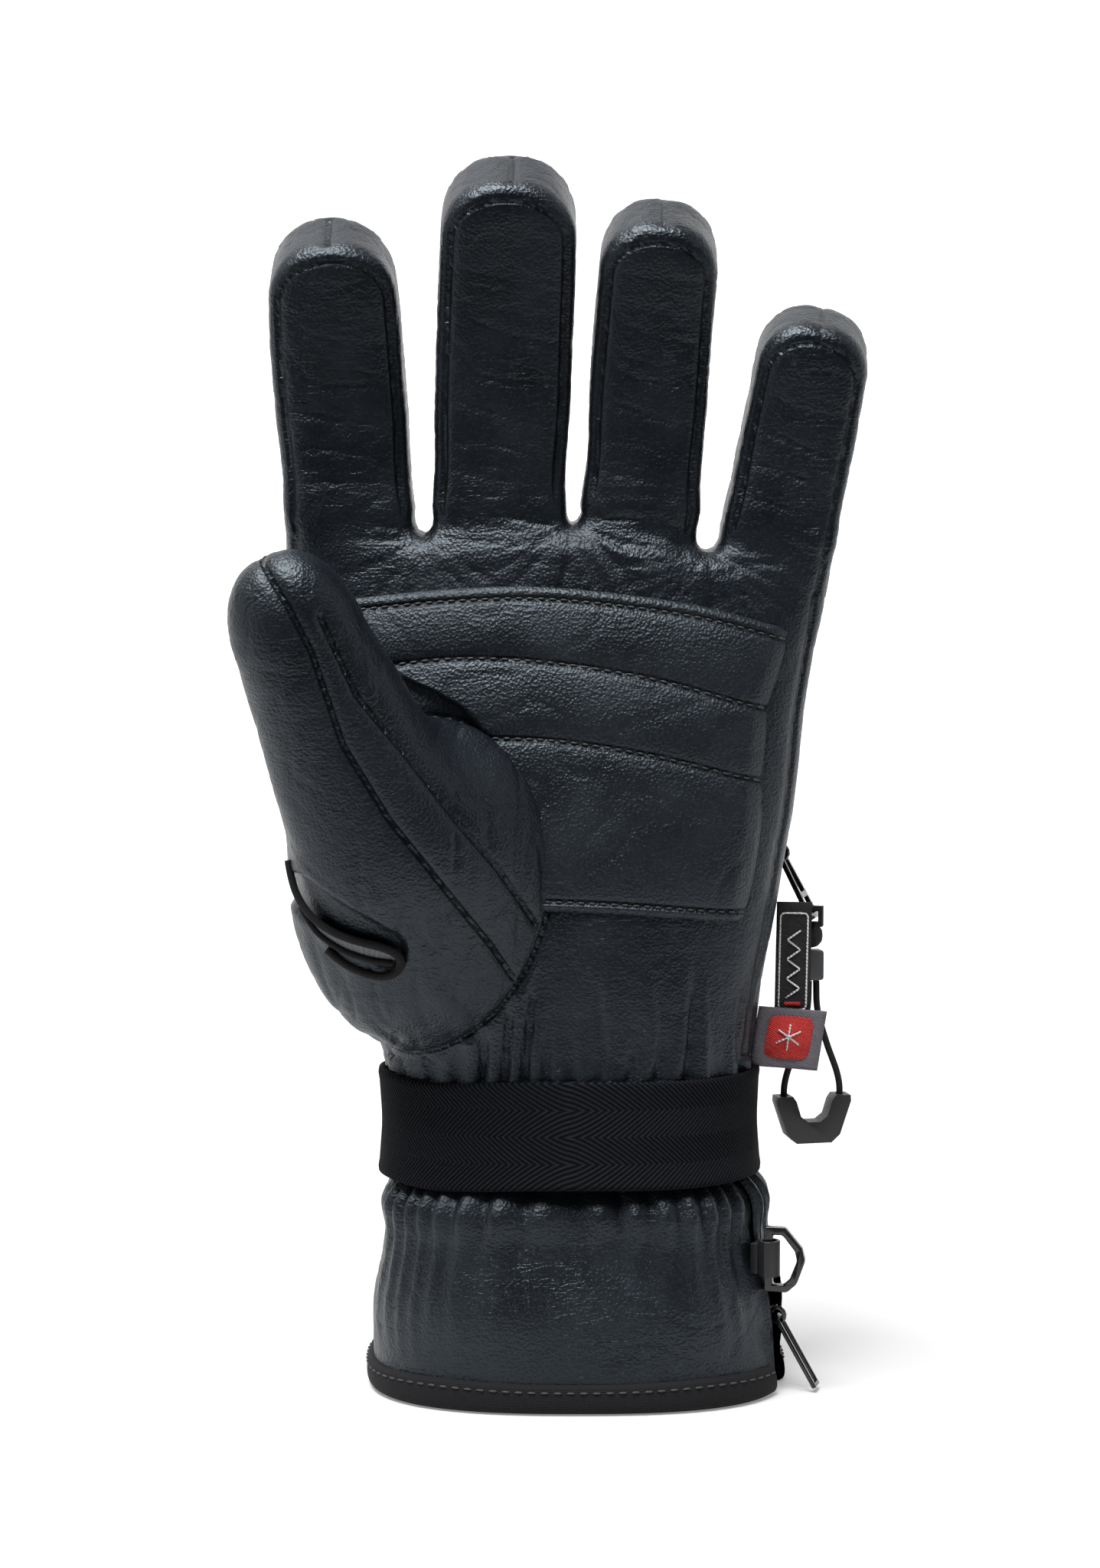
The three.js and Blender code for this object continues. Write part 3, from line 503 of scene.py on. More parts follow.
# The opening for the side zip: degrees round the hand, its height, and how deep it goes.
SIDE_ZIP_DEGREES = 16
SIDE_ZIP_Z = (104, 150)
SIDE_ZIP_DEPTH = 4.4
CROTCHES = [(-29.4, 205), (5.9, 208), (37.6, 201)]
SEAM_INSET = 1.8
TIP_SEAM_INSET = 3.5


def line_distance(x, z, line):
    """Distance from points to a line of x, z corners."""
    best = np.full(np.shape(x), 1e6)
    for (x0, z0), (x1, z1) in zip(line, line[1:]):
        dx, dz = x1 - x0, z1 - z0
        t = np.clip(((x - x0) * dx + (z - z0) * dz) / (dx * dx + dz * dz), 0, 1)
        best = np.minimum(best, np.hypot(x - x0 - t * dx, z - z0 - t * dz))
    return best


def outline_distance(points):
    """Distance to the hand's outline as seen from the palm side, negative inside it."""
    x, y, z = points.T
    a, _, cx, _ = section(z)
    hand = np.maximum(np.abs(x - cx) - a, z - hand_top(x))
    best = hand
    for name in FINGERS:
        across, _, along = finger_frame(name, x, y, z)
        finger = np.where(along > -16, finger_outline(name, across, along), 60)
        best = smooth_min(best, finger, 4)
    return best


def thumb_over_palm(points):
    """0 where the thumb and its gusset meet the palm, negative on their side."""
    x, y, z = points.T
    return smooth_min(gusset_distance(x, y, z), thumb_distance(x, y, z), 13) - body_distance(x, y, z)


class Skin:
    """The leather's points with what is known of each: its finger, and how far it is from the seams."""

    def __init__(self, points):
        self.points = points
        x, y, z = points.T
        self.normals = skin_facing(points)
        frames = [finger_frame(name, x, y, z) for name in FINGERS]
        distances = np.stack([finger_distance(name, x, y, z) for name in FINGERS])
        self.finger = distances.argmin(0)
        own_frame = np.take_along_axis(np.array(frames), self.finger[None, None], 0)[0]
        self.across, self.deep, self.along = own_frame
        self.length = np.array([finger[2] for finger in FINGERS.values()])[self.finger]
        on_body = np.minimum(body_distance(x, y, z), gusset_distance(x, y, z))
        self.up = thumb_frame(x, y, z)[2]
        thumb = thumb_distance(x, y, z)
        self.on_thumb = (thumb < on_body) & (z < 215) & (self.up > -2)
        self.front = self.normals[:, 1] < 0.25
        self.thumb_side = thumb_over_palm(points)
        by_gusset = gusset_distance(x, y, z) < body_distance(x, y, z) + 2
        self.on_gusset = self.front & ~self.on_thumb & by_gusset
        self.at_crotch = sum(bump(np.hypot(x - cx, z - cz + 3), 7) for cx, cz in CROTCHES)
        at_tip = smoothstep(self.along, self.length - 12, self.length - 3)
        self.edge = outline_distance(points) + SEAM_INSET + (TIP_SEAM_INSET - SEAM_INSET) * at_tip
        self.edge[self.on_thumb | self.on_gusset] = 9
        self.edge[(z < 84) | ((np.abs(self.normals[:, 1]) < 0.05) & (z > 200))] = 9

    def thumb_seams(self):
        x, _, z = self.points.T
        near = np.minimum(line_distance(x, z, THUMB_SEAM_OUTER), line_distance(x, z, THUMB_SEAM_INNER))
        near = np.where(self.thumb_side < 1.5, near, 9.0)
        steepness = np.linalg.norm(gradient(thumb_over_palm, self.points), axis=1)
        round_gusset = np.where(z < 172, np.abs(self.thumb_side) / np.maximum(steepness, 0.3), 9.0)
        in_reach = self.front & (self.points[:, 1] < -12) & (z < 206)
        return np.where(in_reach, np.minimum(near, round_gusset), 9.0)

    def tip_seams(self):
        on_wall = (self.along > self.length - 6) & (np.abs(self.deep) < 8.5)
        return np.where(on_wall, np.abs(self.across), 9.0)


def finger_detail(skin):
    """Creases across the fingers: at the root, and where each one bends."""
    place = np.stack([skin.across, skin.deep, skin.along], 1)
    fine = creases(Ripples(11, (40, 40, 5.5))(place), 7)
    broad = creases(Ripples(12, (60, 60, 11))(place), 5)
    bends = bump(skin.along - 0.42 * skin.length, 15) + 0.9 * bump(skin.along - 3, 10) + 0.35
    flat = 0.25 + 0.75 * smoothstep(np.abs(skin.normals[:, 1]), 0.3, 0.75)
    return np.where(skin.along > -12, (0.32 * fine + 0.42 * broad) * bends * flat, 0)


def crotch_detail(skin):
    """Wrinkles on the palm that fan out from the roots of the fingers."""
    x, _, z = skin.points.T
    total = np.zeros(len(x))
    for k, (cx, cz) in enumerate(CROTCHES):
        r = np.hypot(x - cx, z - cz)
        turn = np.arctan2(x - cx, cz - z)
        fan = creases(Ripples(30 + k, (7, 60, 7))(np.stack([turn * 16, r * 0.5, turn * 0], 1)), 6)
        total += fan * 0.9 * bump(r - 10, 10) * (z < cz + 3)
    return total


def wrist_detail(skin):
    """Gathers pulled in by the wrist's elastic, each fading out at its own height."""
    x, y, z = skin.points.T
    degrees = np.degrees(np.arctan2(y, x - 4.6))
    around = around_only(degrees)
    sway = Ripples(5, (70, 70, 70))(np.stack([degrees, z * 1.3, z * 0], 1))
    fold = np.sin(np.radians(degrees) * 38 + 2.6 * sway)
    reach = 108 + 10 * Ripples(6, (17, 17, 17))(around)
    ridge = 1.5 * np.abs(np.sin(np.radians(degrees) * 17 + 1.3 * sway)) ** 0.6 - 1.1
    return (1.5 * ridge + 0.3 * fold) * smoothstep(reach - z, 0, 24)


def palm_detail(skin):
    points = skin.points
    slack = creases(Ripples(21, (26, 26, 13))(points), 6)
    fine = creases(Ripples(22, (11, 11, 9))(points), 7)
    upright = creases(Ripples(23, (10, 30, 60))(points), 5)
    calm = np.where(skin.on_gusset, 1.0, 0.35) * np.where(skin.on_gusset | skin.on_thumb, 0.7, 0.2)
    return 0.16 * slack + 0.14 * fine + 0.8 * calm * upright


def zip_opening(points):
    """1 in the opening that the side zip lies in, and 0 beside it."""
    x, y, z = points.T
    middle = body_point(SIDE_ZIP_DEGREES, z)
    aside = 1 - smoothstep(np.hypot(x - middle[..., 0], y - middle[..., 1]), 3.6, 4.8)
    low, high = SIDE_ZIP_Z
    return aside * smoothstep(z, low + 0.5, low + 1.5) * (1 - smoothstep(z, high - 1.5, high - 0.5))


def skin_height(skin, seam):
    """How far each point is pushed out, in mm: panels puff between seams, which lie beside a rolled edge."""
    x, _, z = skin.points.T
    edge = skin.edge
    puff = 0.7 * (1 - np.exp(-seam / 2.6)) - 0.25 * bump(seam, 0.8)
    rolled = 0.25 * bump(edge - 1.5, 1.1) - 0.12 * bump(edge + 0.6, 0.9)
    rolled = rolled * (1 - np.minimum(skin.at_crotch, 1))
    detail = finger_detail(skin) + crotch_detail(skin) + wrist_detail(skin)
    broad = 0.22 * Ripples(3, (40, 40, 40))(skin.points)
    slot = np.where(skin.front, 1 - smoothstep(line_distance(x, z, SLOT_MIDDLE), 3.2, 5.5), 0)
    height = puff + rolled + broad + (detail + palm_detail(skin)) * smoothstep(seam, 0.2, 2.5)
    thumb_line = np.where(skin.front, skin.thumb_seams(), 9)
    height = height * (1 - slot) - 1.1 * slot - 0.5 * bump(thumb_line, 0.9)
    opening = zip_opening(skin.points)
    return height * (1 - opening) - SIDE_ZIP_DEPTH * opening


def make_skin():
    step = 0.95
    low, high = np.array([-80.0, -66, 62]), np.array([82.0, 32, 300])
    points, faces = surface_nets(skin_distance, low, high, step)
    points = settle(skin_distance, points)
    skin = Skin(points)
    seam = np.minimum.reduce([np.abs(skin.edge) + 4 * skin.at_crotch, skin.thumb_seams(), skin.tip_seams()])
    points = points + skin.normals * skin_height(skin, seam)[:, None]
    normals = vertex_normals(points, faces)
    open_faces = faces[points[faces][:, :, 2].min(1) > 62.5]
    along = skin.along[open_faces].mean(1)
    finger = skin.finger[open_faces[:, 0]]
    part = np.where(skin.on_thumb[open_faces].all(1), 5, np.where(along > -8, finger + 1, 0))
    names = ["hand_skin", *(f"{name}_skin" for name in FINGERS), "thumb_skin"]
    made = {}
    for k, name in enumerate(names):
        chosen = open_faces[part == k]
        used, inverse = np.unique(chosen, return_inverse=True)
        own = inverse.reshape(-1, 4)
        values = {"rest": skin.points[used], "seam": seam[used]}
        made[name] = build(name, points[used], own, leather, normals[used], **values)
    return made


def attach_skin(made):
    webs = ("web_index_middle", "web_middle_ring", "web_ring_little")
    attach(made["hand_skin"], "hand")
    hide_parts("palm_leather", "back_leather", "thumb_gusset", "wrist_elastic", *webs)
    for name in FINGERS:
        piece = made[f"{name}_skin"]
        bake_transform(piece)
        parts = ("palm_face", "back_face", "fourchette", "liner")
        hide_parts(*(f"{name}_{part}" for part in parts))
    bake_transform(made["thumb_skin"])
    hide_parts("thumb_outer", "thumb_strip", "thumb_inner", "thumb_liner")
    for piece in made.values():
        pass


skins = make_skin()
attach_skin(skins)


# ---------------------------------------------------------------- flat and tube meshes from rows of points
def grid_faces(rows, columns, closed=False):
    """Quads between rows of points. closed joins the last column to the first."""
    row = np.arange(rows - 1)[:, None] * columns
    column = np.arange(columns if closed else columns - 1)[None, :]
    beside = (column + 1) % columns
    corners = [row + column, row + beside, row + columns + beside, row + columns + column]
    return np.stack(corners, -1).reshape(-1, 4)


def boundary(rows, columns):
    """The index of each point round the edge of a grid, in order."""
    foot = [(0, c) for c in range(columns)]
    right = [(r, columns - 1) for r in range(1, rows)]
    top = [(rows - 1, c) for c in range(columns - 2, -1, -1)]
    left = [(r, 0) for r in range(rows - 2, 0, -1)]
    return [r * columns + c for r, c in foot + right + top + left]


def slab_faces(rows, columns):
    """Faces of a closed slab whose front grid is followed by its back one."""
    count = rows * columns
    front = grid_faces(rows, columns)
    rim = boundary(rows, columns)
    walls = [[rim[k], rim[k - 1], rim[k - 1] + count, rim[k] + count] for k in range(len(rim))]
    return front.tolist() + (front[:, ::-1] + count).tolist() + walls


def tube_faces(rows, count):
    """Faces of a tube of rings with its two ends closed."""
    ends = [list(range(count))[::-1], list(range((rows - 1) * count, rows * count))]
    return grid_faces(rows, count, True).tolist() + ends


class Pile:
    """Points and faces of several pieces that become one mesh, with the attributes each brings."""

    def __init__(self, *keys):
        self.points, self.faces, self.count = [], [], 0
        self.values = {key: [] for key in keys}

    def add(self, points, faces, **values):
        points = np.asarray(points, float).reshape(-1, 3)
        self.points.append(points)
        self.faces += [[index + self.count for index in face] for face in faces]
        self.count += len(points)
        for key, listed in self.values.items():
            listed.append(np.broadcast_to(np.asarray(values[key], float).ravel(), len(points)))

    def made(self, name, material, body="hand"):
        attributes = {key: np.concatenate(listed) for key, listed in self.values.items()}
        piece = build(name, np.concatenate(self.points), self.faces, material, **attributes)
        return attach(piece, body) or piece


def swept(path, outline, side, closed=False):
    """Points and faces of an outline carried along a path. side points along the outline's first axis."""
    path = np.asarray(path, float)
    ahead = np.gradient(path, axis=0)
    if closed:
        ahead = np.roll(path, -1, 0) - np.roll(path, 1, 0)
    ahead /= np.linalg.norm(ahead, axis=1)[:, None]
    side = np.broadcast_to(np.asarray(side, float), path.shape)
    side = side - ahead * (side * ahead).sum(1)[:, None]
    side /= np.linalg.norm(side, axis=1)[:, None]
    up = np.cross(ahead, side)
    outline = np.asarray(outline, float)
    points = path[:, None] + outline[None, :, :1] * side[:, None] + outline[None, :, 1:] * up[:, None]
    count = len(outline)
    if closed:
        faces = grid_faces(len(path) + 1, count, True) % (len(path) * count)
        return points.reshape(-1, 3), faces.tolist()
    return points.reshape(-1, 3), tube_faces(len(path), count)


def oval(across, up, count=10, power=1.0):
    angle = np.linspace(0, 2 * np.pi, count, endpoint=False)
    cosine, sine = np.cos(angle), np.sin(angle)
    wide = across * np.sign(cosine) * np.abs(cosine) ** power
    return np.stack([wide, up * np.sign(sine) * np.abs(sine) ** power], 1)


def spaced(path, pitch, values=None):
    """Points an even distance apart along the path, or the values that its own points carry, there."""
    path = np.asarray(path, float)
    values = path if values is None else values
    run = np.concatenate([[0], np.cumsum(np.linalg.norm(np.diff(path, axis=0), axis=1))])
    at = np.linspace(0, run[-1], max(2, round(run[-1] / pitch) + 1))
    return np.stack([np.interp(at, run, values[:, k]) for k in range(3)], 1)


def rounded(corners, radius, closed=True, steps=5):
    """A line through corners with each corner rounded off."""
    corners = np.asarray(corners, float)
    result = []
    count = len(corners)
    for k in range(count):
        if not closed and k in (0, count - 1):
            result.append(corners[k])
            continue
        here, before, after = corners[k], corners[k - 1], corners[(k + 1) % count]
        back = (before - here) / np.linalg.norm(before - here)
        on = (after - here) / np.linalg.norm(after - here)
        start, end = here + back * radius, here + on * radius
        for t in np.linspace(0, 1, steps):
            result.append((1 - t) ** 2 * start + 2 * t * (1 - t) * here + t**2 * end)
    return np.array(result)


def add_stitches(pile, path, out, pitch=2.7, long=1.9, thick=0.3, **values):
    """A row of thread beads along a path. out is the way the surface faces."""
    path = spaced(path, pitch)
    out = np.broadcast_to(np.asarray(out, float), path.shape)
    rings, count = 5, 6
    for k in range(len(path) - 1):
        start, end = path[k], path[k + 1]
        ahead = (end - start) / np.linalg.norm(end - start)
        middle = (start + end) / 2
        side = np.cross(out[k], ahead)
        side /= np.linalg.norm(side)
        up = np.cross(ahead, side)
        t = np.linspace(-1, 1, rings)
        radius = thick * np.sqrt(np.clip(1 - t**4, 0.02, 1))
        turn = np.linspace(0, 2 * np.pi, count, endpoint=False)
        centre = middle + ahead * t[:, None] * long / 2
        ring = np.cos(turn)[:, None] * side + np.sin(turn)[:, None] * up
        points = centre[:, None] + radius[:, None, None] * ring
        pile.add(points, tube_faces(rings, count), **values)


# ---------------------------------------------------------------- more materials
def make_cloth(name, dark, light, pitch, roughness=0.85, relief=0.12):
    """Plain woven cloth: ribs that cross at 45 degrees, pitch mm apart, and some fuzz."""
    shader = Shader(name, light, roughness, specular=0.3)
    rest = shader.rest()
    along = shader.node("SeparateXYZ", Vector=rest)
    height = shader.node("SeparateXYZ", 2, Vector=rest)
    warp = shader.wave(shader.math("ADD", along, height), pitch)
    weft = shader.wave(shader.math("SUBTRACT", along, height), pitch)
    fuzz = shader.noise(rest, 3.0, 2.0)
    weave = shader.scaled_sum(shader.product(warp, weft), 0.5, 0.5)
    shader.bump(shader.math("ADD", shader.product(weave, relief), shader.product(fuzz, relief)))
    shader.color(shader.product(weave, fuzz), dark, light)
    return shader.material


def make_webbing():
    """Herringbone webbing: diagonal ribs that turn back at each band. run is mm along the strap."""
    shader = Shader("webbing", (0.01, 0.01, 0.012), 0.82, specular=0.08)
    run = shader.attribute("run")
    up = shader.node("SeparateXYZ", 2, Vector=shader.rest())
    chevron = shader.math("PINGPONG", up, 6.2)
    ribs = shader.scaled_sum(shader.wave(shader.scaled_sum(chevron, 1.15, run), 1.35), 0.5, 0.5)
    yarn = shader.wave(shader.scaled_sum(run, -0.8, up), 0.8)
    fuzz = shader.noise(shader.rest(), 2.4, 3.0)
    height = shader.scaled_sum(ribs, 0.6, shader.product(fuzz, 0.1))
    shader.bump(shader.scaled_sum(yarn, 0.03, height))
    tone = shader.product(ribs, shader.ramp(fuzz, 0.3, 0.7, 0.5, 1.0))
    shader.color(tone, (0.0008, 0.001, 0.0016), (0.018, 0.02, 0.026))
    return shader.material


def make_ripstop():
    """Grey ripstop cloth: a fine weave with a raised grid."""
    shader = Shader("ripstop", (0.06, 0.065, 0.072), 0.6)
    cells = [shader.math("DIVIDE", shader.attribute(key), 1.3) for key in ("run", "across")]
    lines = [shader.math("GREATER_THAN", shader.math("FRACT", cell), 0.8) for cell in cells]
    grid = shader.math("MAXIMUM", *lines)
    fuzz = shader.noise(shader.rest(), 5.0, 2.0)
    shader.bump(shader.scaled_sum(grid, 0.07, shader.product(fuzz, 0.08)))
    tone = shader.scaled_sum(grid, 0.5, shader.product(fuzz, 0.5))
    shader.color(tone, (0.055, 0.06, 0.068), (0.16, 0.17, 0.185))
    return shader.material


def make_solid(name, color, roughness, relief, scale, coat=0.0):
    """One colour with a slightly uneven surface."""
    shader = Shader(name, color, roughness, coat)
    uneven = shader.noise(shader.rest(), scale, 4.0)
    shader.bump(shader.product(uneven, relief))
    shader.color(uneven, [c * 0.7 for c in color], [min(1, c * 1.25) for c in color])
    shader.roughness(shader.ramp(uneven, 0.3, 0.7, roughness - 0.05, roughness + 0.08))
    return shader.material


def make_threads(name, color, pitch, relief=0.1):
    """Satin-woven label cloth: fine slanting ribs."""
    shader = Shader(name, color, 0.7)
    rest = shader.rest()
    up = shader.node("SeparateXYZ", 2, Vector=rest)
    across = shader.node("SeparateXYZ", 0, Vector=rest)
    twill = shader.wave(shader.scaled_sum(across, 0.6, up), pitch)
    fuzz = shader.noise(rest, 4.0, 2.0)
    shader.bump(shader.scaled_sum(twill, relief, shader.product(fuzz, relief)))
    light = [min(1, c * 1.2) for c in color]
    shader.color(shader.scaled_sum(twill, 0.35, fuzz), [c * 0.55 for c in color], light)
    return shader.material


webbing = make_webbing()
ripstop = make_ripstop()
binding_cloth = make_cloth("binding cloth", (0.0025, 0.0025, 0.0035), (0.0105, 0.0098, 0.0125), 0.7)
fleece = make_solid("fleece lining", (0.018, 0.019, 0.021), 0.95, 0.5, 1.1)
thread = make_solid("thread", (0.03, 0.032, 0.036), 0.6, 0.05, 5.0)
rubber = make_solid("rubber", (0.012, 0.0125, 0.014), 0.5, 0.03, 2.0)
clamp_rubber = make_solid("clamp rubber", (0.06, 0.062, 0.066), 0.45, 0.03, 2.0)
black_metal = make_solid("black metal", (0.004, 0.004, 0.0045), 0.25, 0.02, 1.0, 0.2)
cord_braid = make_cloth("cord braid", (0.005, 0.005, 0.006), (0.026, 0.026, 0.03), 0.8, 0.8, 0.1)
hook_and_loop = make_solid("hook and loop", (0.01, 0.01, 0.011), 0.95, 0.6, 1.6)
zip_tape = make_cloth("zip tape", (0.005, 0.005, 0.006), (0.018, 0.018, 0.021), 0.7)
zip_teeth = make_solid("zip teeth", (0.012, 0.012, 0.013), 0.35, 0.02, 2.0)
label_black = make_threads("black label", (0.008, 0.008, 0.009), 0.5)
label_white = make_threads("label white", (0.8, 0.8, 0.81), 0.9)
label_grey = make_threads("grey label", (0.17, 0.155, 0.18), 0.55)
label_red = make_threads("label red", (0.75, 0.035, 0.03), 0.5)


# ---------------------------------------------------------------- palm patch
# The patch's left and right edges, and its stitched lines from left to right, as x, z points.
PATCH_LEFT = [(-5, 117), (-6, 135), (-9, 150), (-16, 163), (-25, 171), (-46, 178), (-49, 194)]
PATCH_RIGHT = [(46.4, 119), (49.6, 138), (50.4, 154), (51.6, 168), (57, 183), (58, 194)]
PATCH_TOP = [(-48, 191), (-27.5, 193.5), (-3, 194.7), (23.3, 192), (42.7, 188.4), (58, 183)]
CHANNELS = [
    [(-46, 175), (-22, 178.5), (0, 177.5), (25, 173.5), (53, 165)],
    [(-16, 160), (0, 160), (25, 156), (52, 148.5)],
]
PATCH_FOOT = [(-2, 120.5), (20, 119.5), (48, 116.5)]
PATCH_WIDTH = 104
PATCH_HEIGHT = 78


def edge_x(edge, z):
    return np.interp(z, [p[1] for p in edge], [p[0] for p in edge])


def line_z(line, x):
    return np.interp(x, [p[0] for p in line], [p[1] for p in line])


def smooth_line(line, x):
    """The height of a line with its corners eased."""
    return sum(line_z(line, x + shift) for shift in (-9, -6, -3, 0, 3, 6, 9)) / 7


def palm_y(x, z, out):
    """Depth of the palm's surface at x, z, raised by out."""
    a, b, cx, cy = section(z)
    share = np.clip(np.abs(x - cx) / (a + out), 0, 0.999)
    return cy - (b + out) * (1 - share**ROUNDNESS) ** (1 / ROUNDNESS)


def patch_lines():
    top = lambda x: smooth_line(PATCH_TOP, x)
    lines = [lambda x: top(x) - 2.6]
    lines += [lambda x, channel=channel: smooth_line(channel, x) for channel in CHANNELS]
    lines.append(lambda x: smooth_line(PATCH_FOOT, x) + 2.4)
    return lines


def line_nearness(x, z):
    """Distance from the nearest of the patch's stitched lines."""
    return np.minimum.reduce([np.abs(z - line(x)) for line in patch_lines()])


def patch_out(x, z):
    """How far the patch stands off the palm: padded between its stitched lines, with a folded top hem."""
    near = line_nearness(x, z)
    puff = 1.9 + 1.25 * (1 - np.exp(-near / 2.6)) - 0.3 * bump(near, 0.7)
    creased = 0.3 * creases(Ripples(41, (34, 34, 22))(np.stack([x, z * 0, z], -1)), 6)
    return puff + creased * smoothstep(near, 0.5, 3)


def make_patch():
    step = 0.9
    columns, rows = round(PATCH_WIDTH / step), round(PATCH_HEIGHT / step)
    share = np.linspace(0, 1, rows)[:, None]
    u = np.linspace(0, 1, columns)[None, :]
    x = u * PATCH_WIDTH - 49
    for _ in range(3):
        foot = smooth_line(PATCH_FOOT, x)
        z = foot + (smooth_line(PATCH_TOP, x) - foot) * share
        left, right = (sum(edge_x(edge, z + s) for s in (-4, 0, 4)) / 3 for edge in (PATCH_LEFT, PATCH_RIGHT))
        x = left + (right - left) * u
    out = patch_out(x, z)
    edge = np.minimum.reduce([x - left, right - x, share * 75 + 0 * x, (1 - share) * 75 + 0 * x])
    out = out - 1.4 * (1 - smoothstep(edge, 0, 1.6)) - 1.6 * (1 - smoothstep(right - x, 0, 5))
    points = np.stack([x, palm_y(x, z, out), z], -1)
    back = np.stack([x, palm_y(x, z, 0.2), z], -1)
    near = line_nearness(x, z).ravel()
    pile = Pile("seam")
    pile.add(np.stack([points, back]), slab_faces(rows, columns), seam=np.concatenate([near, near]))
    patch = pile.made("palm_patch_leather", patch_leather)
    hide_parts("palm_patch", "palm_foam")


def make_patch_stitches():
    pile = Pile()
    ends = [(-44, 55), (-40, 50), (-16, 49), (-4, 45.5)]
    for (start, end), line in zip(ends, patch_lines()):
        x = np.linspace(start, end, 60)
        z = line(x)
        path = np.stack([x, palm_y(x, z, 1.95), z], -1)
        add_stitches(pile, path, (0, -1, 0), 2.6, 1.75, 0.27)
    stitches = pile.made("patch_stitches", thread)


# ---------------------------------------------------------------- cuff
ZIP_DEGREES = -12.7
ZIP_GAP = 6.2
ZIP_TOP = 31
# The cuff's other seams in degrees, and about how many mm one degree is.
CUFF_SEAMS = (174, -16, -9)
MM_PER_DEGREE = 0.75


def around_mm(degrees, z):
    """Millimetres round the cuff from its little-finger side, for cloth that runs round it."""
    return np.radians(degrees) * 43 + 0 * z


def cuff_fold(degrees, z):
    """Gathers pulled in by the elastic under the strap, which open out down the cuff."""
    turn = np.radians(degrees)
    around = around_only(degrees)
    sway = Ripples(51, (60, 60, 60))(around)
    reach = 22 + 13 * Ripples(52, (34, 34, 34))(around)
    wave = np.sin(turn * 36 + 1.5 * sway + 0.02 * (52 - z))
    ridge = 1.1 * np.abs(np.sin(turn * 18 + 0.75 * sway + 0.01 * (52 - z))) ** 0.7 - 0.85
    near = smoothstep(z, 40, 52)
    fade = smoothstep(z, reach - 8, 53)
    broad = Ripples(53, (52, 52, 52))(around)
    long_folds = 1.5 * broad * smoothstep(z, 5, 40)
    return (1.7 * near + 0.4) * ridge * fade + 0.4 * wave * fade + long_folds


def cuff_out(degrees, z):
    pulled = -2.6 * bump(z - 57.5, 3.8) + 1.9 * bump(z - 49.5, 5.5)
    points = np.stack([around_mm(degrees, z), z * 0, z], -1)
    slack = creases(Ripples(54, (24, 24, 17))(points), 6)
    fine = creases(Ripples(55, (8, 8, 13))(points), 6)
    inner = smoothstep(z, HEM_Z + 6, HEM_Z + 14)
    held = 1 - smoothstep(z, 55, 58)
    swell = 1.6 * bump(z - 26, 15)
    return pulled + swell + (cuff_fold(degrees, z) * held + 0.22 * slack + 0.15 * fine) * inner


def make_cuff():
    step = 0.9
    levels = np.arange(HEM_Z + 2, 79, step * 0.8)
    pile = Pile("seam")
    start, end = ZIP_DEGREES + ZIP_GAP, ZIP_DEGREES + 360 - ZIP_GAP
    for low_degrees, high_degrees, floor in ((start, end, 0), (end - 360, start, ZIP_TOP)):
        z = levels[levels >= floor]
        count = max(8, round((high_degrees - low_degrees) * MM_PER_DEGREE / step))
        d = np.linspace(low_degrees, high_degrees, count)
        degrees, height = np.meshgrid(d, z)
        folded = cuff_out(degrees, height)
        by_zip = np.minimum(np.abs(degrees - start), np.abs(degrees - end))
        lip = bump(by_zip, 1.6) * (height < ZIP_TOP + 2)
        points = body_point(degrees, height, folded + lip)
        seams = (start, end, end - 360, *CUFF_SEAMS)
        side = np.minimum.reduce([np.abs(degrees - seam) for seam in seams]) * MM_PER_DEGREE
        pile.add(points, grid_faces(len(z), len(d)), seam=side)
    cuff = pile.made("gauntlet", leather)
    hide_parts("gauntlet_front", "gauntlet_back")


def make_lining():
    """The fleece inside the glove, seen through the cuff's mouth and behind the gathers."""
    levels = np.concatenate([np.arange(HEM_Z + 1.5, 188, 3), [189, 190]])
    columns = 140
    degrees, height = np.meshgrid(np.linspace(0, 360, columns, endpoint=False), levels)
    places = np.stack([around_mm(degrees, height), height * 0, height], -1)
    ruffle = 0.4 * Ripples(61, (30, 30, 40))(places)
    narrowing = 5 * smoothstep(height, 183, 190)
    points = body_point(degrees, height, -5.2 + ruffle - narrowing)
    pile = Pile()
    faces = grid_faces(len(levels), columns, True).tolist()
    pile.add(points, faces + [list(range((len(levels) - 1) * columns, len(levels) * columns))])
    lining = pile.made("glove_lining", fleece)
    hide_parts("hand_liner", "hand_insulation")


def make_binding():
    """The cloth folded over the cuff's lower edge, with a row of stitches near its top."""
    degrees = np.linspace(ZIP_DEGREES + 8.5, ZIP_DEGREES + 351.5, 260)
    sag = 0.25 * np.sin(np.radians(degrees) * 5)
    profile = [(-3.2, 7.5), (-3.4, 1.6), (-2.6, 0.35), (-1, 0), (0.9, 0.15), (2.05, 1.2), (2.35, 3)]
    profile += [(2.3, 5.2), (2.0, 6.6), (1.3, HEM_HEIGHT), (0.2, HEM_HEIGHT + 0.1)]
    rows = [body_point(degrees, HEM_Z + z + sag * smoothstep(z, 3, 6), out) for out, z in profile]
    points = np.stack(rows)
    pile = Pile()
    pile.add(points, grid_faces(len(profile), len(degrees)))
    binding = pile.made("hem_binding", binding_cloth)
    modifier = binding.modifiers.new("smooth", "SUBSURF")
    modifier.levels = modifier.render_levels = 1
    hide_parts("cuff_binding")
    stitches = Pile()
    seam = body_point(degrees, HEM_Z + 5.7 + sag, 2.3)
    outward = body_point(degrees, HEM_Z, 12) - body_point(degrees, HEM_Z, 2)
    add_stitches(stitches, seam, spaced(seam, 3.0, outward), 3.0, 2.1, 0.26)
    stitches.made("hem_stitches", thread)


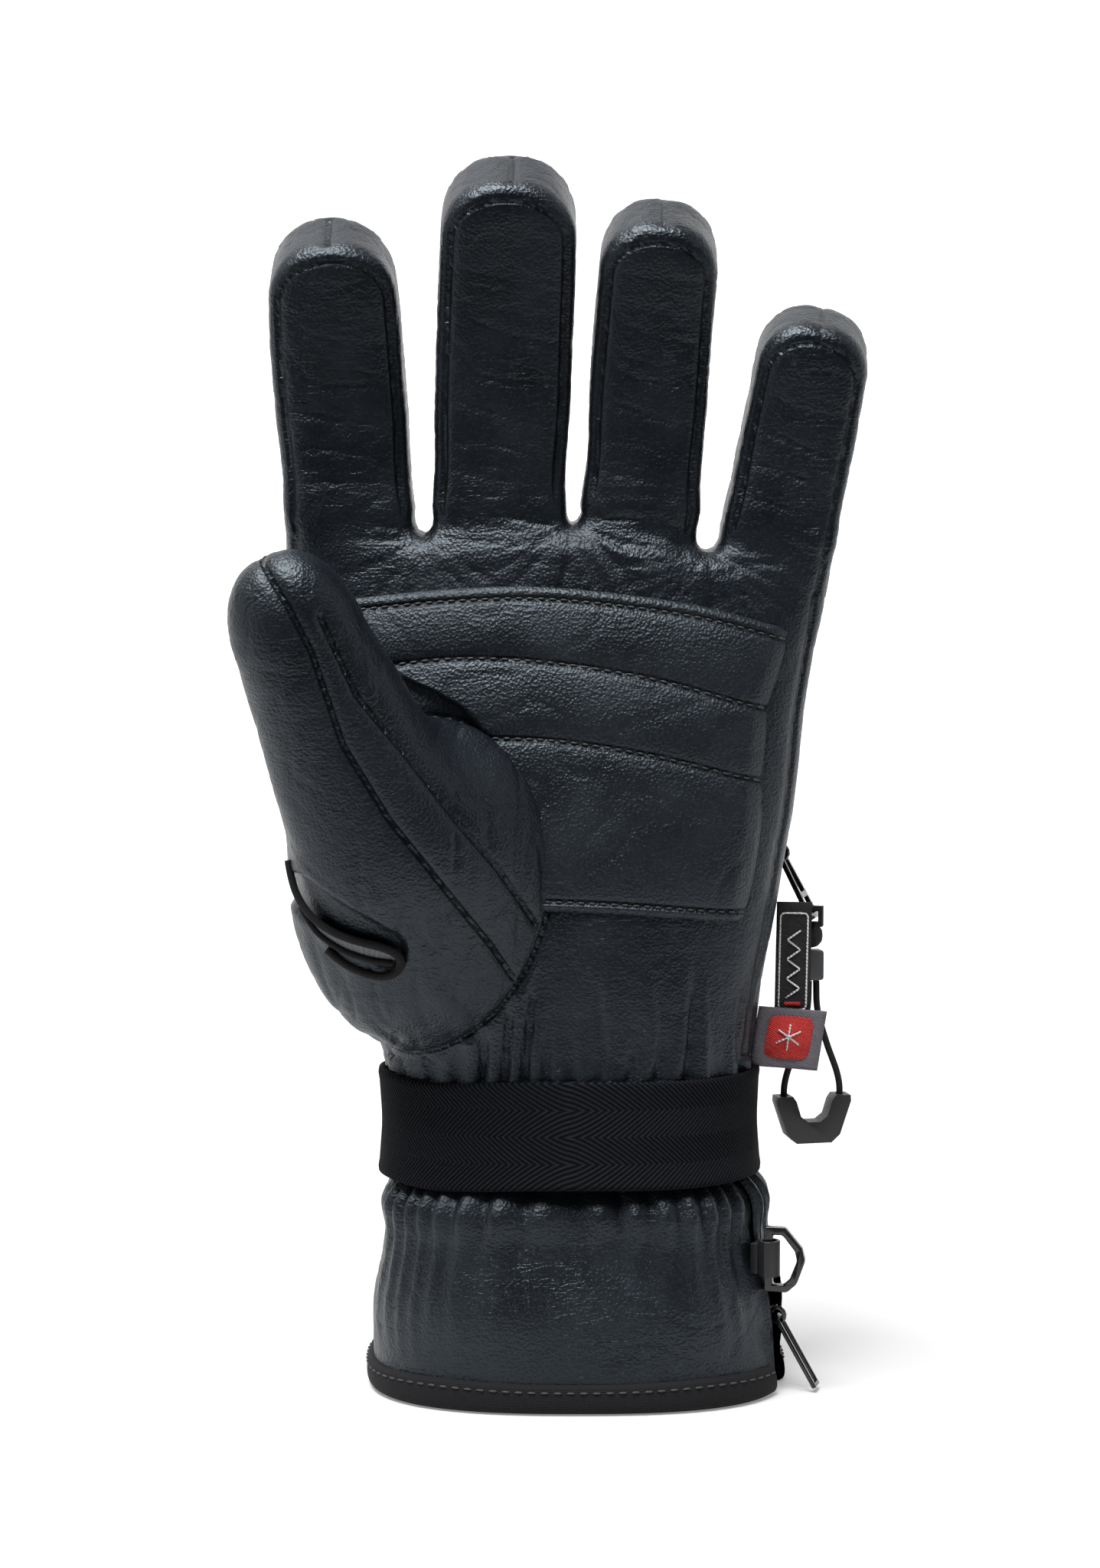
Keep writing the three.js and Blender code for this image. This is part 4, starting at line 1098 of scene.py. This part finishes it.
# ---------------------------------------------------------------- wrist strap
def make_strap():
    low, high = STRAP_Z
    degrees = np.linspace(118, 446, 330)
    profile = [(0.7, low + 0.4), (1.6, low), (2.6, low + 0.5), (2.75, low + 1.4)]
    profile += [(2.6, z) for z in np.linspace(low + 3, high - 3, 11)]
    profile += [(2.75, high - 1.4), (2.6, high - 0.5), (1.6, high), (0.7, high - 0.4)]
    rows = []
    wander = Ripples(71, (80, 80, 80))(around_only(degrees))
    for out, z in profile:
        rows.append(body_point(degrees, z + 0.5 * wander, out + 0.25 * wander))
    points = np.stack(rows)
    run = np.broadcast_to(around_mm(degrees, degrees * 0), points.shape[:2])
    pile = Pile("run")
    pile.add(points, grid_faces(len(profile), len(degrees)), run=run)
    strap = pile.made("strap_webbing", webbing)
    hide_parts("wrist_strap")


make_patch()
make_patch_stitches()
make_cuff()
make_lining()
make_binding()
make_strap()


# ---------------------------------------------------------------- thumb slot
# The slot's lips from its outer end, over the top, round the inner end and back, as x, z points.
SLOT_UPPER = [
    (-55, 133.5), (-52.8, 127.8), (-48, 124.6), (-44.1, 122.4), (-39.7, 120.1), (-36.1, 118.0), (-33.6, 115.4)
]
SLOT_LOWER = [(-32.9, 112.5), (-34, 109.7), (-37, 108.4), (-41, 109.3), (-45, 111.2), (-48.5, 114.2)]
SLOT_FOOT = [(-53.2, 123.5), (-49.5, 118.6), (-43.3, 115.2), (-38.5, 113.4), (-34.6, 112.6)]


def before_palm(line, pitch):
    """Evenly spaced points of a line of x, z corners, a little in front of the palm."""
    return spaced([(x, -32.0, z) for x, z in line], pitch)


def on_skin(line, out=0.0, pitch=0.8):
    """A line of x, z points laid on the palm side and raised by out, and the way the skin faces along it."""
    path = spaced(settle(skin_distance, before_palm(line, pitch), 6), pitch)
    facing = skin_facing(path)
    return path + facing * out, facing


def band(first, second, rows, columns, out):
    """A patch of skin between two lines of x, z points, raised by out."""
    a, b = before_palm(first, 0.5), before_palm(second, 0.5)
    pick = lambda line: line[np.linspace(0, len(line) - 1, columns).astype(int)]
    share = np.linspace(0, 1, rows)[:, None, None]
    points = (pick(a) * (1 - share) + pick(b) * share).reshape(-1, 3)
    points = settle(skin_distance, points, 6)
    run = np.broadcast_to(np.linspace(0, 30, columns), (rows, columns)).ravel()
    across = np.repeat(np.linspace(0, 10, rows), columns)
    return points + skin_facing(points) * out, grid_faces(rows, columns), run, across


def make_slot():
    upper = rounded(SLOT_UPPER + SLOT_LOWER, 1.6, closed=False)
    path, facing = on_skin(upper, 0.9)
    side = np.cross(facing, np.gradient(path, axis=0))
    pile = Pile()
    pile.add(*swept(path, oval(1.05, 0.85), side))
    lower, facing = on_skin(SLOT_FOOT, 0.7)
    pile.add(*swept(lower, oval(0.8, 0.7), np.cross(facing, np.gradient(lower, axis=0))))
    points, faces, _, _ = band(SLOT_FOOT, list(reversed(SLOT_LOWER)), 8, 30, 0.1)
    pile.add(points, faces)
    binding = pile.made("slot_lips", binding_cloth)
    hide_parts("slot_binding")
    points, faces, run, across = band(SLOT_FOOT, SLOT_UPPER, 14, 44, 0.4)
    insert = Pile("run", "across")
    insert.add(points, faces, run=run, across=across)
    panel = insert.made("slot_panel", ripstop)
    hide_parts("slot_insert")


# ---------------------------------------------------------------- labels
def black_label_point(u, v, lift=0.0):
    """A point of the black label: mm from its left edge and its foot."""
    cosine, sine = math.cos(math.radians(1)), math.sin(math.radians(1))
    return [53.3 + u * cosine + v * sine, -1.95 - lift, 92.3 - u * sine + v * cosine]


def grey_label_point(u, v, lift=0.0):
    return [49.6 + u - 0.16 * (14 - v), -3.9 - lift, 80 + v - 0.08 * (u - 8)]


def add_line(pile, place, corners, thick, closed=False, radius=0.8):
    """An embroidered line through corners on a label."""
    line = rounded(np.array(corners, float), radius, closed) if radius else np.array(corners, float)
    path = np.array([place(u, v, 0.02) for u, v in line])
    pile.add(*swept(path, oval(thick, 0.22, 8), (0, -1, 0), closed))


def add_flat(pile, place, corners, radius, lift=0.1):
    """An embroidered shape on a label."""
    line = rounded(np.array(corners, float), radius)
    front = [place(u, v, lift) for u, v in line]
    back = [place(u, v, -0.1) for u, v in line]
    count = len(line)
    walls = [[k, (k + 1) % count, (k + 1) % count + count, k + count] for k in range(count)]
    pile.add(front + back, [list(range(count))[::-1], list(range(count, 2 * count))] + walls)


def label_base(name, place, wide, high, thick, material, *nodes):
    """The label's own cloth, a little uneven."""
    columns, rows = 14, 18
    u, v = np.meshgrid(np.linspace(0, wide, columns), np.linspace(0, high, rows))
    wave = 0.2 * np.sin(u * 0.5 + v * 0.23) * (1 - v / high)
    front = np.array([place(a, b, w) for a, b, w in zip(u.ravel(), v.ravel(), wave.ravel())])
    back = front + np.array([0, thick, 0])
    pile = Pile()
    pile.add(np.stack([front, back]), slab_faces(rows, columns))
    base = pile.made(name, material)
    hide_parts(*nodes)


def make_labels():
    label_base("label_black", black_label_point, 8.3, 27, 0.7, label_black, "label_black")
    label_base("label_grey", grey_label_point, 16, 14, 1.4, label_grey, "label_grey")
    white = Pile()
    frame_line = [(0.9, 1.4), (7.4, 1.4), (7.4, 24.4), (0.9, 24.4)]
    add_line(white, black_label_point, frame_line, 0.32, True, 1.2)
    peaks = [(2.6 + 3.2 * (k % 2), 4.2 + 2.3 * k) for k in range(8)]
    add_line(white, black_label_point, peaks, 0.36, False, 0.5)
    for turn in range(3):
        angle = math.radians(60 * turn + 30)
        du, dv = 3.1 * math.cos(angle), 3.1 * math.sin(angle)
        place = lambda u, v, lift=0.0: grey_label_point(u, v, lift + 0.2)
        add_line(white, place, [(8 - du, 7.4 - dv), (8 + du, 7.4 + dv)], 0.42, False, 0)
    white.made("label_stitching", label_white)
    red = Pile()
    add_flat(red, grey_label_point, [(2.7, 2.3), (13.3, 2.3), (13.3, 12.4), (2.7, 12.4)], 2.4, 0.22)
    add_flat(red, black_label_point, [(2.2, 2.4), (6.1, 2.4), (6.1, 3.3), (2.2, 3.3)], 0.3, 0.25)
    red.made("label_patch", label_red)


# ---------------------------------------------------------------- hardware that keeps its CAD shape
def smoothed(node, material, bevel, segments):
    """A copy of a CAD node with rounded edges, which stands for it."""
    source = frame["nodes"][node]
    mesh = source.data.copy()
    mesh.materials.clear()
    mesh.materials.append(material)
    mesh.transform(source.matrix_world)
    points = np.array([v.co for v in mesh.vertices]) * 1000 - OFFSET
    rest = mesh.attributes.new("rest", "FLOAT_VECTOR", "POINT")
    rest.data.foreach_set("vector", points.astype(np.float32).ravel())
    mesh.polygons.foreach_set("use_smooth", np.ones(len(mesh.polygons), bool))
    piece = placed(node + "_look", mesh)
    weld = piece.modifiers.new("weld", "WELD")
    weld.merge_threshold = 0.00002
    rounding = piece.modifiers.new("bevel", "BEVEL")
    rounding.width = bevel / 1000
    rounding.segments = segments
    rounding.limit_method = "ANGLE"
    rounding.angle_limit = math.radians(28)
    rounding.harden_normals = True
    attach(piece, NODE_BODIES[node])
    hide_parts(node)
    return piece


def make_hardware():
    # Each node with its material, its slot, and the width in mm and steps of its rounded edges.
    rows = []
    for zip_name in ("cuff_zip", "side_zip"):
        for side in ("front", "back"):
            rows.append((f"{zip_name}_tape_{side}", zip_tape, "zip_tape", 0.2, 2))
            rows.append((f"{zip_name}_teeth_{side}", zip_teeth, "zip_teeth", 0.12, 2))
        rows.append((f"{zip_name}_slider", black_metal, "black_metal", 0.25, 3))
        rows.append((f"{zip_name}_pull", black_metal, "black_metal", 0.3, 3))
    rows += [
        ("clip_ring", black_metal, "black_metal", 0.42, 3),
        ("ring_keeper", rubber, "rubber", 0.3, 3),
        ("strap_tab", rubber, "rubber", 0.35, 3),
        ("strap_loop_pad", hook_and_loop, "hook_and_loop", 0.15, 3),
        ("strap_hook_pad", hook_and_loop, "hook_and_loop", 0.15, 3),
        ("cord_clamp", clamp_rubber, "rubber", 0.6, 4),
        ("cord_knot", cord_braid, "cord", 0.4, 3),
        ("cord_grip", rubber, "rubber", 1.3, 4),
    ]
    for node, material, slot, bevel, segments in rows:
        smoothed(node, material, bevel, segments)


# ---------------------------------------------------------------- pull cord
def catmull_rom(corners, steps):
    """A smooth line through every corner."""
    padded = np.vstack([2 * corners[0] - corners[1], corners, 2 * corners[-1] - corners[-2]])
    result = []
    for p0, p1, p2, p3 in zip(padded, padded[1:], padded[2:], padded[3:]):
        for t in np.arange(steps) / steps:
            square = 2 * p0 - 5 * p1 + 4 * p2 - p3
            cubic = -p0 + 3 * p1 - 3 * p2 + p3
            result.append(0.5 * (2 * p1 + (p2 - p0) * t + square * t**2 + cubic * t**3))
    return np.array([*result, corners[-1]])


def make_cord():
    """The thin cord loop from the clamp, through the moulded grip and back."""
    origin = np.array(JOINTS["cord_pull_swing"]["pos_m"]) * 1000 - OFFSET
    turn = math.radians(13)
    across = np.array([math.cos(turn), math.sin(turn), 0])
    leg = [(0.9, -15.5), (1.3, -22.5), (3.6, -30.5), (6.3, -38), (6.9, -43), (5.7, -48), (3.5, -51.5)]
    line = [(-x, z) for x, z in leg] + [(0, -51.8)] + leg[::-1]
    corners = np.array([origin + across * x + np.array([0, 0, 1]) * z for x, z in line])
    path = catmull_rom(corners, 8)
    data = bpy.data.curves.new("pull_cord", "CURVE")
    data.dimensions = "3D"
    data.bevel_depth = 0.0008
    data.bevel_resolution = 4
    data.use_fill_caps = True
    spline = data.splines.new("POLY")
    spline.points.add(len(path) - 1)
    for point, place in zip(spline.points, to_row(path)):
        point.co = (*place, 1)
    data.materials.append(cord_braid)
    piece = placed("pull_cord", data)
    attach(piece, "cord_pull")
    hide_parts("cord_loop")
    length = np.linalg.norm(np.diff(to_row(path), axis=0), axis=1).sum()
    length = round(float(length), 4)


make_slot()
make_labels()
make_hardware()
make_cord()


# ---------------------------------------------------------------- studio
def area_light(name, place, target, size, power):
    data = bpy.data.lights.new(name, "AREA")
    data.shape = "RECTANGLE"
    data.size, data.size_y = size
    data.energy = power
    light = placed(name, data)
    light.location = Vector(place)
    light.rotation_euler = (Vector(target) - light.location).to_track_quat("-Z", "Y").to_euler()


def make_backdrop():
    """A white floor that sweeps up into a wall, glowing enough to stay white but for the glove's shadow."""
    shader = Shader("studio white", (0.5, 0.5, 0.5), 0.9)
    shader.surface.inputs["Emission Color"].default_value = (1, 1, 1, 1)
    glow = shader.attribute("glow")
    shader.tree.links.new(glow, shader.surface.inputs["Emission Strength"])
    profile = [(-0.24, 0), (0, 0), (0.3, 0), (0.9, 0)]
    turns = np.linspace(0.1, math.pi / 2, 12)
    profile += [(0.9 + 0.8 * math.sin(t), 0.8 - 0.8 * math.cos(t)) for t in turns]
    profile += [(1.7, 3.2)]
    points = [(x, y, z) for y, z in profile for x in (-3, 3)]
    faces = [(2 * k, 2 * k + 1, 2 * k + 3, 2 * k + 2) for k in range(len(profile) - 1)]
    mesh = bpy.data.meshes.new("backdrop")
    mesh.from_pydata(points, [], faces)
    mesh.polygons.foreach_set("use_smooth", np.ones(len(faces), bool))
    glow = [0.22 + 0.78 * smoothstep(y, 0.1, 1.3) for _, y, _ in points]
    mesh.attributes.new("glow", "FLOAT", "POINT").data.foreach_set("value", np.array(glow, np.float32))
    mesh.materials.append(shader.material)
    backdrop = placed("backdrop", mesh)


def make_studio():
    world = bpy.data.worlds.new("studio")
    bpy.context.scene.world = world
    world.use_nodes = True
    world.node_tree.nodes["Background"].inputs["Color"].default_value = (1, 1, 1, 1)
    world.node_tree.nodes["Background"].inputs["Strength"].default_value = 0.08
    bpy.context.scene.view_settings.view_transform = "Standard"
    make_backdrop()
    centre = (0, 0, 0.15)
    area_light("top", (-0.25, -0.28, 1.25), centre, (0.9, 0.6), 37)
    area_light("left", (-1.0, -0.25, 0.45), centre, (0.5, 1.1), 1.9)
    area_light("right", (1.0, 0.0, 0.5), centre, (0.4, 1.1), 1.4)


make_studio()
